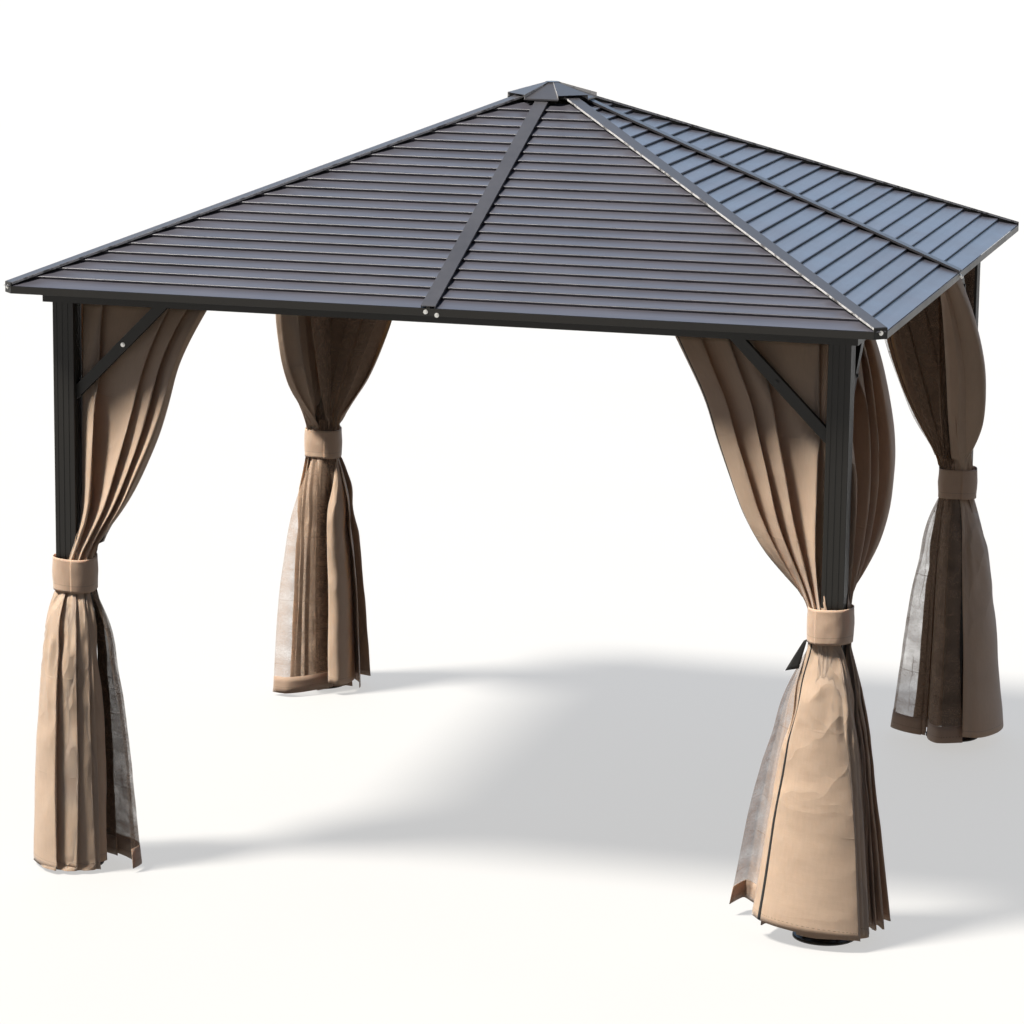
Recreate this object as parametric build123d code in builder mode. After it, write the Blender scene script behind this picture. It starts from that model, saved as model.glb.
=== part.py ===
"""Garden gazebo: four posts, a slatted hip roof with a vented cap, and curtains tied back at each post."""

import os
from math import atan2, cos, degrees, radians, sin, sqrt, tan

from build123d import *

# Roof outline
roof_width = 3000.0
eave_height = 2045.0
roof_rise = 610.0

# Posts and feet
post_inset = 62.0
post_width = 75.0
post_wall = 3.0
post_corner_radius = 3.0
post_groove_width = 5.0
post_groove_depth = 1.5
post_groove_pitch = 20.0
post_groove_count = 3
foot_radius = 105.0
foot_thickness = 8.0
foot_chamfer = 3.0
anchor_circle = 160.0
anchor_hole_radius = 6.0
anchor_count = 4

# Beams, curtain rails and knee braces
eave_overhang = 105.0
beam_width = 75.0
beam_drop = 62.0
beam_height = 67.0
beam_wall = 3.0
rail_width = 70.0
rail_height = 18.0
rail_wall = 2.0
rail_slot = 8.0
track_width = 20.0
rail_joint_gap = 2.0
brace_reach = 310.0
brace_width = 36.0
brace_thickness = 25.0
brace_wall = 2.0

# Rafters and their cover strips
mid_rafter_width = 40.0
hip_rafter_width = 50.0
rafter_depth = 30.0
rafter_wall = 2.5
web_width = 12.0
cover_width = 50.0
cover_thickness = 3.0
cover_lip = 5.0
mid_cover_lift = 6.0
hip_cover_lift = 2.0
mid_cover_start = 112.0
hip_cover_start = 128.0
hip_seat_gap = 0.3
hip_end_thickness = 4.0

# Slatted roof panels
first_slat = 76.0
top_slat_gap = 139.7
slat_count = 23
slat_step = 10.0
panel_skin = 3.0
panel_gap = 1.0

# Eave trim
trim_height = 24.0
trim_thickness = 2.0
trim_flange = 20.0
trim_end_gap = 0.5

# Crown hub and vented cap
hub_apothem = 90.0
hub_drop = 85.0
hub_height = 45.0
king_post_radius = 14.0
cap_rim_apothem = 150.0
cap_top_apothem = 22.0
cap_rim_clearance = 14.0
cap_rise = 11.0
cap_thickness = 3.0
cap_corner_lift = 15.0
cap_facets = 8

# Curtains and nets, measured from a post's centre towards the middle of a side
soft_facets = 16
soft_clearance = 1.5
hang_gap = 0.3
curtain_outer = 14.0
curtain_inner = 54.0
curtain_reach = 540.0
waist_height = 1620.0
waist_reach = 350.0
neck_rise = 2.0
neck_reach = 76.0
neck_outer = -22.0
neck_inner = 44.0
neck_overlap = 5.0
skirt_drop = 4.0
skirt_knee = 700.0
skirt_hem = 20.0
skirt_top_radius = 80.0
skirt_knee_radius = 135.0
skirt_hem_radius = 175.0
skirt_centre = 13.0
net_outer = 56.0
net_inner = 68.0
net_start = 70.0
net_reach = 555.0
net_neck_reach = 105.0
net_neck_rise = 7.0
net_drop = 12.0
net_knee = 500.0
net_hem = 30.0
net_top_radius = 70.0
net_knee_radius = 150.0
net_hem_radius = 205.0
net_top_centre = 30.0
net_hem_centre = 95.0
net_clearance = 0.6
tie_bottom = 972.0
tie_height = 116.0
tie_inner_radius = 72.1
tie_thickness = 3.0

# Turns about the middle that carry a front piece to each side, and a front right piece to each corner
side_turns = {"front": 0, "right": 90, "rear": 180, "left": 270}
corner_turns = {"front_right": 0, "rear_right": 90, "rear_left": 180, "front_left": 270}

eave_half = roof_width / 2
apex_height = eave_height + roof_rise
post_half = post_width / 2
beam_outer_width = roof_width - 2 * eave_overhang
beam_outer = beam_outer_width / 2
beam_inner = beam_outer - beam_width
beam_bottom = eave_height - beam_drop
post_top = beam_bottom
post_at = beam_outer - post_inset
pitch = atan2(roof_rise, eave_half)
hip_pitch = atan2(roof_rise, eave_half * sqrt(2))
panel_depth = slat_step + panel_skin
slope_length = eave_half / cos(pitch)
slat_pitch = (slope_length - first_slat - top_slat_gap) / (slat_count - 1)
hip_length = eave_half * sqrt(2) / cos(hip_pitch)
hip_fall = sin(hip_pitch)
hip_panel_depth = panel_depth / cos(pitch) * cos(hip_pitch)
hip_tube_top = -(hip_panel_depth + hip_fall * hip_rafter_width / 2 + hip_seat_gap)
hip_end = eave_half * sqrt(2) - cover_width / 2
trim_bottom = eave_height - trim_height
trim_inside = eave_half - trim_thickness
flange_top = trim_bottom + trim_thickness
hub_bottom = apex_height - hub_drop
cap_top_height = apex_height + cap_rise
cap_rim_height = apex_height - cap_rim_apothem * tan(pitch) + cap_rim_clearance

# Vertical planes that part the front side from the right and left sides
right_mitre = Plane(origin=(0, 0, 0), x_dir=(0, 0, 1), z_dir=(1, 1, 0))
left_mitre = Plane(origin=(0, 0, 0), x_dir=(0, 0, 1), z_dir=(-1, 1, 0))
mid_section = Plane(
    origin=(0, 0, apex_height), x_dir=(1, 0, 0), z_dir=(0, -cos(pitch), -sin(pitch))
)
hip_section = Plane(
    origin=(0, 0, apex_height),
    x_dir=(1, 1, 0),
    z_dir=(cos(hip_pitch), -cos(hip_pitch), -sin(hip_pitch) * sqrt(2)),
)

os.makedirs("parts", exist_ok=True)


def write_turned(piece, name, turn):
    """Write a copy of a piece turned about the middle of the gazebo."""
    with BuildPart() as turned:
        add(piece, rotation=(0, 0, turn))
    turned.part.label = name
    export_step(turned.part, f"parts/{name}.step")


def corner_plane(height):
    """A level plane on the front right post's axis whose directions run inward along the two beams."""
    return Plane(origin=(post_at, -post_at, height), x_dir=(0, 1, 0), z_dir=(0, 0, 1))


def facing(distance):
    """An upright plane facing the front, at a distance from the middle."""
    return Plane(origin=(0, -distance, 0), x_dir=(1, 0, 0), z_dir=(0, -1, 0))


def diagonal_facing(distance):
    """An upright plane facing the front right corner, at a distance from the middle."""
    along = distance / sqrt(2)
    return Plane(origin=(along, -along, 0), x_dir=(1, 1, 0), z_dir=(1, -1, 0))


def beam_side(inset):
    """An upright plane along the front beam from the front right post, at an inset from the posts' line."""
    return Plane(origin=(post_at, inset - post_at, 0), x_dir=(-1, 0, 0), z_dir=(0, 1, 0))


# Post: a grooved square tube
with BuildPart() as post:
    with BuildSketch(corner_plane(foot_thickness)):
        RectangleRounded(post_width, post_width, post_corner_radius)
        bore = post_width - 2 * post_wall
        Rectangle(bore, bore, mode=Mode.SUBTRACT)
        with PolarLocations(post_half, 4):
            with GridLocations(0, post_groove_pitch, 1, post_groove_count):
                Rectangle(2 * post_groove_depth, post_groove_width, mode=Mode.SUBTRACT)
    extrude(amount=post_top - foot_thickness)

# Foot: a round plate with anchor holes
with BuildPart() as foot:
    with BuildSketch(corner_plane(0)):
        Circle(foot_radius)
        with PolarLocations(anchor_circle / 2, anchor_count, start_angle=45):
            Circle(anchor_hole_radius, mode=Mode.SUBTRACT)
    extrude(amount=foot_thickness)
    rim = foot.edges().filter_by(GeomType.CIRCLE).group_by(Axis.Z)[-1].sort_by(SortBy.RADIUS)[-1]
    chamfer(rim, length=foot_chamfer)

# Beam: a box section with mitred ends
with BuildPart() as beam:
    with BuildSketch(Plane.YZ.offset(-beam_outer)):
        with Locations((beam_width / 2 - beam_outer, beam_bottom + beam_height / 2)):
            Rectangle(beam_width, beam_height)
            Rectangle(beam_width - 2 * beam_wall, beam_height - 2 * beam_wall, mode=Mode.SUBTRACT)
    extrude(amount=beam_outer_width)
    split(bisect_by=right_mitre, keep=Keep.BOTTOM)
    split(bisect_by=left_mitre, keep=Keep.BOTTOM)

# Curtain rail: two open tracks side by side, one for the curtain and one for the net
curtain_track = post_at - (curtain_outer + curtain_inner) / 2
net_track = post_at - (net_outer + net_inner) / 2
with BuildPart() as rail:
    with BuildSketch(Plane.YZ.offset(-beam_outer)):
        with Locations((rail_width / 2 - beam_inner, beam_bottom + rail_height / 2)):
            Rectangle(rail_width, rail_height)
        for track in (curtain_track, net_track):
            with Locations((-track, beam_bottom + rail_height / 2)):
                Rectangle(track_width, rail_height - 2 * rail_wall, mode=Mode.SUBTRACT)
            with Locations((-track, beam_bottom + rail_wall)):
                Rectangle(rail_slot, 2 * rail_wall, mode=Mode.SUBTRACT)
    extrude(amount=beam_outer_width)
    split(bisect_by=right_mitre.offset(-rail_joint_gap), keep=Keep.BOTTOM)
    split(bisect_by=left_mitre.offset(-rail_joint_gap), keep=Keep.BOTTOM)

# Knee braces of the front right post: one tube to each beam
post_face = post_at - post_half


def brace_outline(width):
    """Corners of a brace between the post's face and the beam's underside."""
    cut = width / sqrt(2)
    return [
        (post_face, beam_bottom - brace_reach - cut),
        (post_face, beam_bottom - brace_reach + cut),
        (post_face - brace_reach + cut, beam_bottom),
        (post_face - brace_reach - cut, beam_bottom),
    ]


with BuildPart() as brace_pair:
    with BuildSketch(facing(post_at)):
        Polygon(*brace_outline(brace_width), align=None)
    extrude(amount=brace_thickness / 2, both=True)
    with BuildSketch(facing(post_at)):
        Polygon(*brace_outline(brace_width - 2 * brace_wall), align=None)
    extrude(amount=brace_thickness / 2 - brace_wall, both=True, mode=Mode.SUBTRACT)
    mirror(about=right_mitre)

# Mid rafter: a tube under the panels with a web between them, notched over the beam
with BuildPart() as mid_rafter:
    with BuildSketch(mid_section):
        with Locations((0, -panel_depth - rafter_depth / 2)):
            Rectangle(mid_rafter_width, rafter_depth)
            Rectangle(mid_rafter_width - 2 * rafter_wall, rafter_depth - 2 * rafter_wall, mode=Mode.SUBTRACT)
        with Locations((0, (mid_cover_lift - panel_depth) / 2)):
            Rectangle(web_width, mid_cover_lift + panel_depth)
    extrude(amount=slope_length + cover_width)
    split(bisect_by=facing(hub_apothem), keep=Keep.TOP)
    split(bisect_by=facing(trim_inside), keep=Keep.BOTTOM)
    split(bisect_by=Plane.XY.offset(flange_top), keep=Keep.TOP)
    with BuildSketch(Plane.XY.offset(beam_bottom)):
        Rectangle(beam_outer_width, beam_outer_width)
        Rectangle(2 * beam_inner, 2 * beam_inner, mode=Mode.SUBTRACT)
    extrude(amount=beam_height, mode=Mode.SUBTRACT)

# Hip rafter: the same along the front right hip, closed by an end plate at the eave's corner
hip_end_height = apex_height - tan(hip_pitch) * hip_end
with BuildPart() as hip_rafter:
    with BuildSketch(hip_section):
        with Locations((0, hip_tube_top - rafter_depth / 2)):
            Rectangle(hip_rafter_width, rafter_depth)
            Rectangle(hip_rafter_width - 2 * rafter_wall, rafter_depth - 2 * rafter_wall, mode=Mode.SUBTRACT)
    extrude(amount=hip_length + cover_width)
    split(bisect_by=diagonal_facing(hub_apothem), keep=Keep.TOP)
    with BuildSketch(hip_section.offset(hip_cover_start / cos(hip_pitch))):
        with Locations((0, (hip_cover_lift + hip_tube_top) / 2)):
            Rectangle(web_width, hip_cover_lift - hip_tube_top)
    extrude(amount=hip_length)
    split(bisect_by=diagonal_facing(hip_end - hip_end_thickness), keep=Keep.BOTTOM)
    split(bisect_by=Plane.XY.offset(flange_top), keep=Keep.TOP)
    with BuildSketch(Plane.XY.offset(beam_bottom)):
        Rectangle(beam_outer_width, beam_outer_width)
        Rectangle(2 * beam_inner, 2 * beam_inner, mode=Mode.SUBTRACT)
    extrude(amount=beam_height, mode=Mode.SUBTRACT)
    plate_top = hip_end_height + (hip_cover_lift + cover_thickness) / cos(hip_pitch)
    with BuildSketch(diagonal_facing(hip_end - hip_end_thickness)):
        with Locations((0, (plate_top + trim_bottom) / 2)):
            Rectangle(cover_width, plate_top - trim_bottom)
    extrude(amount=hip_end_thickness)

# Cover strips: shallow channels along the front mid rafter and the front right hip
with BuildPart() as mid_cover:
    with BuildSketch(mid_section):
        with Locations((0, mid_cover_lift + cover_thickness / 2)):
            Rectangle(cover_width, cover_thickness)
        with Locations((0, mid_cover_lift - cover_lip / 2)):
            Rectangle(cover_width, cover_lip)
            Rectangle(cover_width - 2 * cover_thickness, cover_lip, mode=Mode.SUBTRACT)
    extrude(amount=slope_length + cover_width)
    split(bisect_by=facing(mid_cover_start), keep=Keep.TOP)
    split(bisect_by=facing(eave_half), keep=Keep.BOTTOM)

with BuildPart() as hip_cover:
    with BuildSketch(hip_section):
        with Locations((0, hip_cover_lift + cover_thickness / 2)):
            Rectangle(cover_width, cover_thickness)
        with Locations((0, hip_cover_lift - cover_lip / 2)):
            Rectangle(cover_width, cover_lip)
            Rectangle(cover_width - 2 * cover_thickness, cover_lip, mode=Mode.SUBTRACT)
    extrude(amount=hip_length + cover_width)
    split(bisect_by=diagonal_facing(hip_cover_start), keep=Keep.TOP)
    split(bisect_by=diagonal_facing(hip_end - hip_end_thickness), keep=Keep.BOTTOM)

# Roof panel: lapped slats, each one's lower edge standing over the next, cut to the hip and the mid rafter
slat_edges = [first_slat + slat_pitch * row for row in range(slat_count)]
lapped = [(0, -panel_depth), (0, 0)]
for edge in slat_edges:
    lapped.append((edge, -slat_step))
    if edge != slat_edges[-1]:
        lapped.append((edge, 0))
lapped.append((slat_edges[-1], -panel_depth))
panel_side = web_width / 2 + panel_gap
with BuildPart() as roof_panel:
    slope_profile = Plane(
        origin=(panel_side, -eave_half, eave_height), x_dir=(0, cos(pitch), sin(pitch)), z_dir=(1, 0, 0)
    )
    with BuildSketch(slope_profile):
        Polygon(*lapped, align=None)
    extrude(amount=eave_half)
    split(bisect_by=right_mitre.offset(-panel_side), keep=Keep.BOTTOM)
    split(bisect_by=facing(trim_inside - panel_gap), keep=Keep.BOTTOM)
    split(bisect_by=diagonal_facing(hip_end - hip_end_thickness - panel_gap), keep=Keep.BOTTOM)
    mirror(about=Plane.YZ)

# Eave trim: an angle that closes the panels' lower edge
with BuildPart() as eave_trim:
    with BuildSketch(Plane.YZ.offset(-eave_half)):
        with Locations((trim_thickness / 2 - eave_half, trim_bottom + trim_height / 2)):
            Rectangle(trim_thickness, trim_height)
        with Locations((trim_flange / 2 - eave_half, trim_bottom + trim_thickness / 2)):
            Rectangle(trim_flange, trim_thickness)
    extrude(amount=roof_width)
    split(bisect_by=right_mitre.offset(-cover_width / 2 - trim_end_gap), keep=Keep.BOTTOM)
    split(bisect_by=left_mitre.offset(-cover_width / 2 - trim_end_gap), keep=Keep.BOTTOM)

# Crown hub: a faceted block that the rafters butt on, with a king post for the cap
facet_turn = 180 / cap_facets
with BuildPart() as crown_hub:
    with BuildSketch(Plane.XY.offset(hub_bottom)):
        RegularPolygon(hub_apothem, cap_facets, major_radius=False, rotation=facet_turn)
    extrude(amount=hub_height)
    with BuildSketch(Plane.XY.offset(hub_bottom)):
        Circle(king_post_radius)
    extrude(amount=cap_top_height - cap_thickness - hub_bottom)

# Cap: an eight sided shell whose corner facets end higher, clear of the hips
cap_lean = (cap_rim_apothem - cap_top_apothem) / (cap_top_height - cap_rim_height)


def cap_profile(drop):
    """Corners of the cap's upright section, lowered by a drop."""
    run = cap_lean * drop
    return [
        (run - cap_rim_apothem, cap_rim_height),
        (cap_rim_apothem - run, cap_rim_height),
        (cap_top_apothem, cap_top_height - drop),
        (-cap_top_apothem, cap_top_height - drop),
    ]


def facet_plane(turn):
    """An upright plane through the middle, turned about it."""
    return Plane(origin=(0, 0, 0), x_dir=(cos(turn), sin(turn), 0), z_dir=(sin(turn), -cos(turn), 0))


facet_turns = [radians(360 / cap_facets * facet) for facet in range(cap_facets // 2)]
with BuildPart() as cap_hollow:
    for turn in facet_turns:
        with BuildSketch(facet_plane(turn)):
            Polygon(*cap_profile(cap_thickness), align=None)
        extrude(amount=roof_width, both=True, mode=Mode.INTERSECT if turn else Mode.ADD)

with BuildPart() as roof_cap:
    for turn in facet_turns:
        with BuildSketch(facet_plane(turn)):
            Polygon(*cap_profile(0), align=None)
        extrude(amount=roof_width, both=True, mode=Mode.INTERSECT if turn else Mode.ADD)
    add(cap_hollow.part, mode=Mode.SUBTRACT)
    with BuildSketch(Plane.XY.offset(cap_rim_height)):
        for corner in range(4):
            start = radians(90 * corner + facet_turn)
            stop = radians(90 * (corner + 1) - facet_turn)
            far = 2 * cap_rim_apothem
            tips = [(0, 0), (far * cos(start), far * sin(start)), (far * cos(stop), far * sin(stop))]
            Polygon(*tips, align=None)
    extrude(amount=cap_corner_lift, mode=Mode.SUBTRACT)

# Curtain: a drape along both beams, drawn in to a neck at the post, with a faceted skirt below
drape_side = post_half + soft_clearance
drape_top = beam_bottom - hang_gap
tie_top = tie_bottom + tie_height
neck_top = tie_top + neck_rise
skirt_top = tie_bottom - skirt_drop
skirt_middle = (post_at - skirt_centre, skirt_centre - post_at)


def gathered(hem_plane, hem_radius, top_radius, rise):
    """A faceted fall of cloth that draws in from its hem's plane to a smaller radius."""
    with BuildPart() as cloth:
        with BuildSketch(hem_plane):
            RegularPolygon(hem_radius, soft_facets, major_radius=False)
        extrude(amount=rise, taper=degrees(atan2(hem_radius - top_radius, rise)))
    return cloth.part


def skirt(margin):
    """The skirt in two falls, with a margin around it."""
    knee_radius = skirt_knee_radius + margin
    hem_plane = Plane(origin=(*skirt_middle, skirt_hem))
    knee_plane = Plane(origin=(*skirt_middle, skirt_knee))
    with BuildPart() as falls:
        add(gathered(hem_plane, skirt_hem_radius + margin, knee_radius, skirt_knee - skirt_hem))
        add(gathered(knee_plane, knee_radius, skirt_top_radius + margin, skirt_top - skirt_knee))
    return falls.part


with BuildPart() as curtain:
    with BuildSketch(beam_side(curtain_outer)):
        drape = [
            (drape_side, drape_top),
            (curtain_reach, drape_top),
            (waist_reach, waist_height),
            (neck_reach, neck_top),
            (drape_side, neck_top),
        ]
        Polygon(*drape, align=None)
    extrude(amount=curtain_inner - curtain_outer)
    mirror(about=right_mitre)
    neck_bottom = skirt_top - neck_overlap
    with BuildSketch(corner_plane(neck_bottom)):
        neck = [
            (drape_side, neck_outer),
            (neck_reach, neck_outer),
            (neck_reach, neck_inner),
            (neck_inner, neck_inner),
            (neck_inner, neck_reach),
            (neck_outer, neck_reach),
            (neck_outer, drape_side),
            (drape_side, drape_side),
        ]
        Polygon(*neck, align=None)
    extrude(amount=neck_top - neck_bottom)
    add(skirt(0))
    with BuildSketch(corner_plane(0)):
        Rectangle(2 * drape_side, 2 * drape_side)
    extrude(amount=skirt_top, mode=Mode.SUBTRACT)

# Net: a thin layer inside the curtain along each beam, and a gathered fall that leans in beside its skirt
net_neck_height = tie_top + net_neck_rise
net_top = tie_bottom - net_drop
net_lean = atan2((net_hem_centre - net_top_centre) * sqrt(2), net_top - net_hem)
net_upper_fall = (net_top - net_knee) / cos(net_lean)
net_lower_fall = (net_knee - net_hem) / cos(net_lean)
net_flare = (net_hem_radius - net_knee_radius) / net_lower_fall
net_run_out = net_hem_radius * tan(net_lean)
net_root = Plane(
    origin=(post_at - net_top_centre, net_top_centre - post_at, net_top),
    x_dir=(1, 1, 0),
    z_dir=(sin(net_lean), -sin(net_lean), cos(net_lean) * sqrt(2)),
)
with BuildPart() as net:
    add(gathered(net_root.offset(-net_upper_fall), net_knee_radius, net_top_radius, net_upper_fall))
    low_plane = net_root.offset(-net_upper_fall - net_lower_fall - net_run_out)
    low_radius = net_hem_radius + net_flare * net_run_out
    add(gathered(low_plane, low_radius, net_knee_radius, net_lower_fall + net_run_out))
    split(bisect_by=Plane.XY.offset(net_top), keep=Keep.BOTTOM)
    split(bisect_by=Plane.XY.offset(net_hem), keep=Keep.TOP)
    add(skirt(net_clearance), mode=Mode.SUBTRACT)
    layer = [
        (net_start, drape_top),
        (net_reach, drape_top),
        (net_neck_reach, net_neck_height),
        (net_start, net_neck_height),
    ]
    with BuildSketch(beam_side(net_outer)):
        Polygon(*layer, align=None)
    extrude(amount=net_inner - net_outer)
    mirror(objects=net.solids().sort_by(Axis.Z)[-1], about=right_mitre)

# Tieback: a band around the post and the drawn in curtain
with BuildPart() as tieback:
    with BuildSketch(corner_plane(tie_bottom)):
        with Locations((skirt_centre, skirt_centre)):
            RegularPolygon(tie_inner_radius + tie_thickness, soft_facets, major_radius=False)
            RegularPolygon(tie_inner_radius, soft_facets, major_radius=False, mode=Mode.SUBTRACT)
    extrude(amount=tie_height)

# Pieces that keep one node for all sides
with BuildPart() as curtain_rails:
    for turn in side_turns.values():
        add(rail.part, rotation=(0, 0, turn))

with BuildPart() as corner_braces:
    for turn in corner_turns.values():
        add(brace_pair.part, rotation=(0, 0, turn))

with BuildPart() as rafter_covers:
    for turn in side_turns.values():
        add(mid_cover.part, rotation=(0, 0, turn))
        add(hip_cover.part, rotation=(0, 0, turn))

for side, turn in side_turns.items():
    write_turned(beam.part, f"beam_{side}", turn)
    write_turned(mid_rafter.part, f"mid_rafter_{side}", turn)
    write_turned(roof_panel.part, f"roof_panel_{side}", turn)
    write_turned(eave_trim.part, f"eave_trim_{side}", turn)

for corner, turn in corner_turns.items():
    write_turned(post.part, f"post_{corner}", turn)
    write_turned(foot.part, f"base_plate_{corner}", turn)
    write_turned(hip_rafter.part, f"hip_rafter_{corner}", turn)
    write_turned(curtain.part, f"curtain_{corner}", turn)
    write_turned(net.part, f"net_{corner}", turn)
    write_turned(tieback.part, f"tieback_{corner}", turn)

write_turned(curtain_rails.part, "curtain_rails", 0)
write_turned(corner_braces.part, "corner_braces", 0)
write_turned(rafter_covers.part, "rafter_covers", 0)
write_turned(crown_hub.part, "crown_hub", 0)
write_turned(roof_cap.part, "roof_cap", 0)
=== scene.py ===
"""Looks of a garden gazebo, laid out as a Blender add-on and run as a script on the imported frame."""

import math
import random

import bmesh
import bpy
import numpy as np
from mathutils import Matrix, Vector, noise


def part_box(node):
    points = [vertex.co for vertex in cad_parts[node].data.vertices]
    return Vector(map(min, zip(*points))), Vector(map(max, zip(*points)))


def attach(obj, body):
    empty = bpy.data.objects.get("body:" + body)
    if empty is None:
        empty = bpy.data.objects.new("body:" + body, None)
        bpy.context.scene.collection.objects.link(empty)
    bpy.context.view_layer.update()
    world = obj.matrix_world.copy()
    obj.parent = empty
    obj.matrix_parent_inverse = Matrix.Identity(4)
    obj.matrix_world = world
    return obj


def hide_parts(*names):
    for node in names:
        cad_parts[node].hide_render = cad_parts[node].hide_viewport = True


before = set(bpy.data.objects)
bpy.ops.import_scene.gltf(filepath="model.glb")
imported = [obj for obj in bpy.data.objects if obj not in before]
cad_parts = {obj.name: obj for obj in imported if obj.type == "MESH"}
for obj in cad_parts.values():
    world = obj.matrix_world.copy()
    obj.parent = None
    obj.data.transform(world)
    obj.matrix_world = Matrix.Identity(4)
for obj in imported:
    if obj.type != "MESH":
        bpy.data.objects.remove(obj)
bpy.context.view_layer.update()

bl_info = {
    "name": "Garden gazebo looks",
    "version": (1, 0, 0),
    "blender": (4, 5, 0),
    "location": "3D View > Sidebar > Gazebo",
    "description": "Dresses a gazebo frame with a slatted roof, curtains, nets and fasteners",
    "category": "Object",
}

SIDES = {"front": 0, "right": 90, "rear": 180, "left": 270}
CORNERS = {"front_right": 0, "rear_right": 90, "rear_left": 180, "front_left": 270}

# Places read from the frame
EAVE_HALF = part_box("eave_trim_right")[1][0]
EAVE_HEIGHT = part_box("eave_trim_front")[1][2]
APEX_HEIGHT = 2.655
PITCH = math.atan2(APEX_HEIGHT - EAVE_HEIGHT, EAVE_HALF)
POST_AT = (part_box("post_front_right")[0][0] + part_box("post_front_right")[1][0]) / 2
POST_HALF = 0.0375
BEAM_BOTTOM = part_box("beam_front")[0][2]
BRACE_FOOT = BEAM_BOTTOM - 0.31
TIE_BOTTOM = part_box("tieback_front_right")[0][2]
TIE_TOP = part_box("tieback_front_right")[1][2]
TIE_CENTRE = 0.013


# Nodes and meshes

class Wiring:
    """Adds nodes to a tree and joins them."""

    def __init__(self, tree):
        self.tree = tree

    def node(self, kind, inputs=None, **settings):
        """A new node, with its settings and with values or links for its inputs."""
        made = self.tree.nodes.new(kind)
        for key, value in settings.items():
            setattr(made, key, value)
        self.feed(made, inputs or {})
        return made

    def feed(self, made, inputs):
        """Give a node's inputs their values or links."""
        for key, value in inputs.items():
            if isinstance(value, bpy.types.NodeSocket):
                self.tree.links.new(value, made.inputs[key])
            else:
                made.inputs[key].default_value = value

    def shade(self, kind, inputs=None, **settings):
        """First output of a new shader node."""
        return self.node(f"ShaderNode{kind}", inputs, **settings).outputs[0]

    def shape(self, kind, inputs=None, **settings):
        """First output of a new geometry node."""
        return self.node(f"GeometryNode{kind}", inputs, **settings).outputs[0]

    def place(self, kind):
        """Texture coordinates of one kind."""
        return self.node("ShaderNodeTexCoord").outputs[kind]

    def parts(self, vector):
        """The three parts of a vector."""
        return self.node("ShaderNodeSeparateXYZ", {0: vector}).outputs

    def math(self, operation, first, second=0.0, clamp=False):
        """A Math node's output."""
        return self.shade("Math", {0: first, 1: second}, operation=operation, use_clamp=clamp)

    def times(self, first, second):
        return self.math("MULTIPLY", first, second)

    def plus(self, first, second):
        return self.math("ADD", first, second)

    def apart(self, value, centre):
        """How far a value is from a centre."""
        return self.math("ABSOLUTE", self.math("SUBTRACT", value, centre))

    def wave(self, value, count):
        """A sine of a value times a count."""
        return self.math("SINE", self.times(value, count))

    def spread(self, value, low, high, to_low=0.0, to_high=1.0):
        """A clamped Map Range from low..high to to_low..to_high."""
        ends = {"Value": value, "From Min": low, "From Max": high, "To Min": to_low, "To Max": to_high}
        return self.shade("MapRange", ends)

    def blend(self, share, first, second):
        """A mix of two colours."""
        return self.node("ShaderNodeMix", {0: share, 6: first, 7: second}, data_type="RGBA").outputs[2]

    def grain(self, at, scale, detail=3.0, roughness=0.5, stretch=None):
        """A noise between 0 and 1, stretched along the axes if asked."""
        if stretch:
            at = self.shade("Mapping", {"Vector": at, "Scale": stretch})
        return self.shade("TexNoise", {"Vector": at, "Scale": scale, "Detail": detail, "Roughness": roughness})

    def bump(self, height, strength, distance, normal=None):
        """A bump normal from a height."""
        ends = {"Height": height, "Strength": strength, "Distance": distance}
        return self.shade("Bump", {**ends, "Normal": normal} if normal else ends)

    def both(self, first, second):
        """Two shapes as one."""
        made = self.node("GeometryNodeJoinGeometry", {0: first})
        self.tree.links.new(second, made.inputs[0])
        return made.outputs[0]


def tinted(colour, gain):
    """A colour made lighter or darker, as a node colour."""
    return (*[min(1.0, part * gain) for part in colour[:3]], 1.0)


def new_material(name):
    """A material with nodes, its wiring and its shader."""
    material = bpy.data.materials.new(name)
    material.use_nodes = True
    return material, Wiring(material.node_tree), material.node_tree.nodes["Principled BSDF"]


def linked(name, data):
    """An object of the scene around its data."""
    made = bpy.data.objects.new(name, data)
    bpy.context.scene.collection.objects.link(made)
    return made


def mesh_object(name, verts, faces, material=None, smooth=False):
    """A mesh object in the scene."""
    mesh = bpy.data.meshes.new(name)
    mesh.from_pydata([tuple(v) for v in verts], [], [tuple(f) for f in faces])
    if material:
        mesh.materials.append(material)
    mesh.polygons.foreach_set("use_smooth", [smooth] * len(mesh.polygons))
    mesh.update()
    return linked(name, mesh)


def shape_object(name, shape, materials):
    """A mesh object from a worked shape."""
    mesh = bpy.data.meshes.new(name)
    shape.to_mesh(mesh)
    shape.free()
    for material in materials:
        mesh.materials.append(material)
    return linked(name, mesh)


def settle(piece):
    """Turn a piece and its modifiers into a plain mesh."""
    graph = bpy.context.evaluated_depsgraph_get()
    graph.update()
    mesh = bpy.data.meshes.new_from_object(piece.evaluated_get(graph), depsgraph=graph)
    piece.modifiers.clear()
    old = piece.data
    mesh.name = old.name
    piece.data = mesh
    bpy.data.meshes.remove(old)
    return piece


def thickened(piece, thickness, offset):
    """A sheet given its thickness, to one side or to both."""
    skin = piece.modifiers.new("Sheet", "SOLIDIFY")
    skin.thickness = thickness
    skin.offset = offset
    return piece


def joined(name, pieces):
    """One object from several."""
    merged = bmesh.new()
    materials = []
    for piece in pieces:
        start = len(merged.faces)
        merged.from_mesh(piece.data)
        merged.faces.ensure_lookup_table()
        for face in merged.faces[start:]:
            material = piece.data.materials[face.material_index]
            if material not in materials:
                materials.append(material)
            face.material_index = materials.index(material)
        bpy.data.meshes.remove(piece.data)
    return shape_object(name, merged, materials)


def hand_over(piece, replaced=()):
    """Let a piece ride on the frame and the nodes that it stands for."""
    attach(piece, "root")
    if replaced:
        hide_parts(*replaced)


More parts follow.
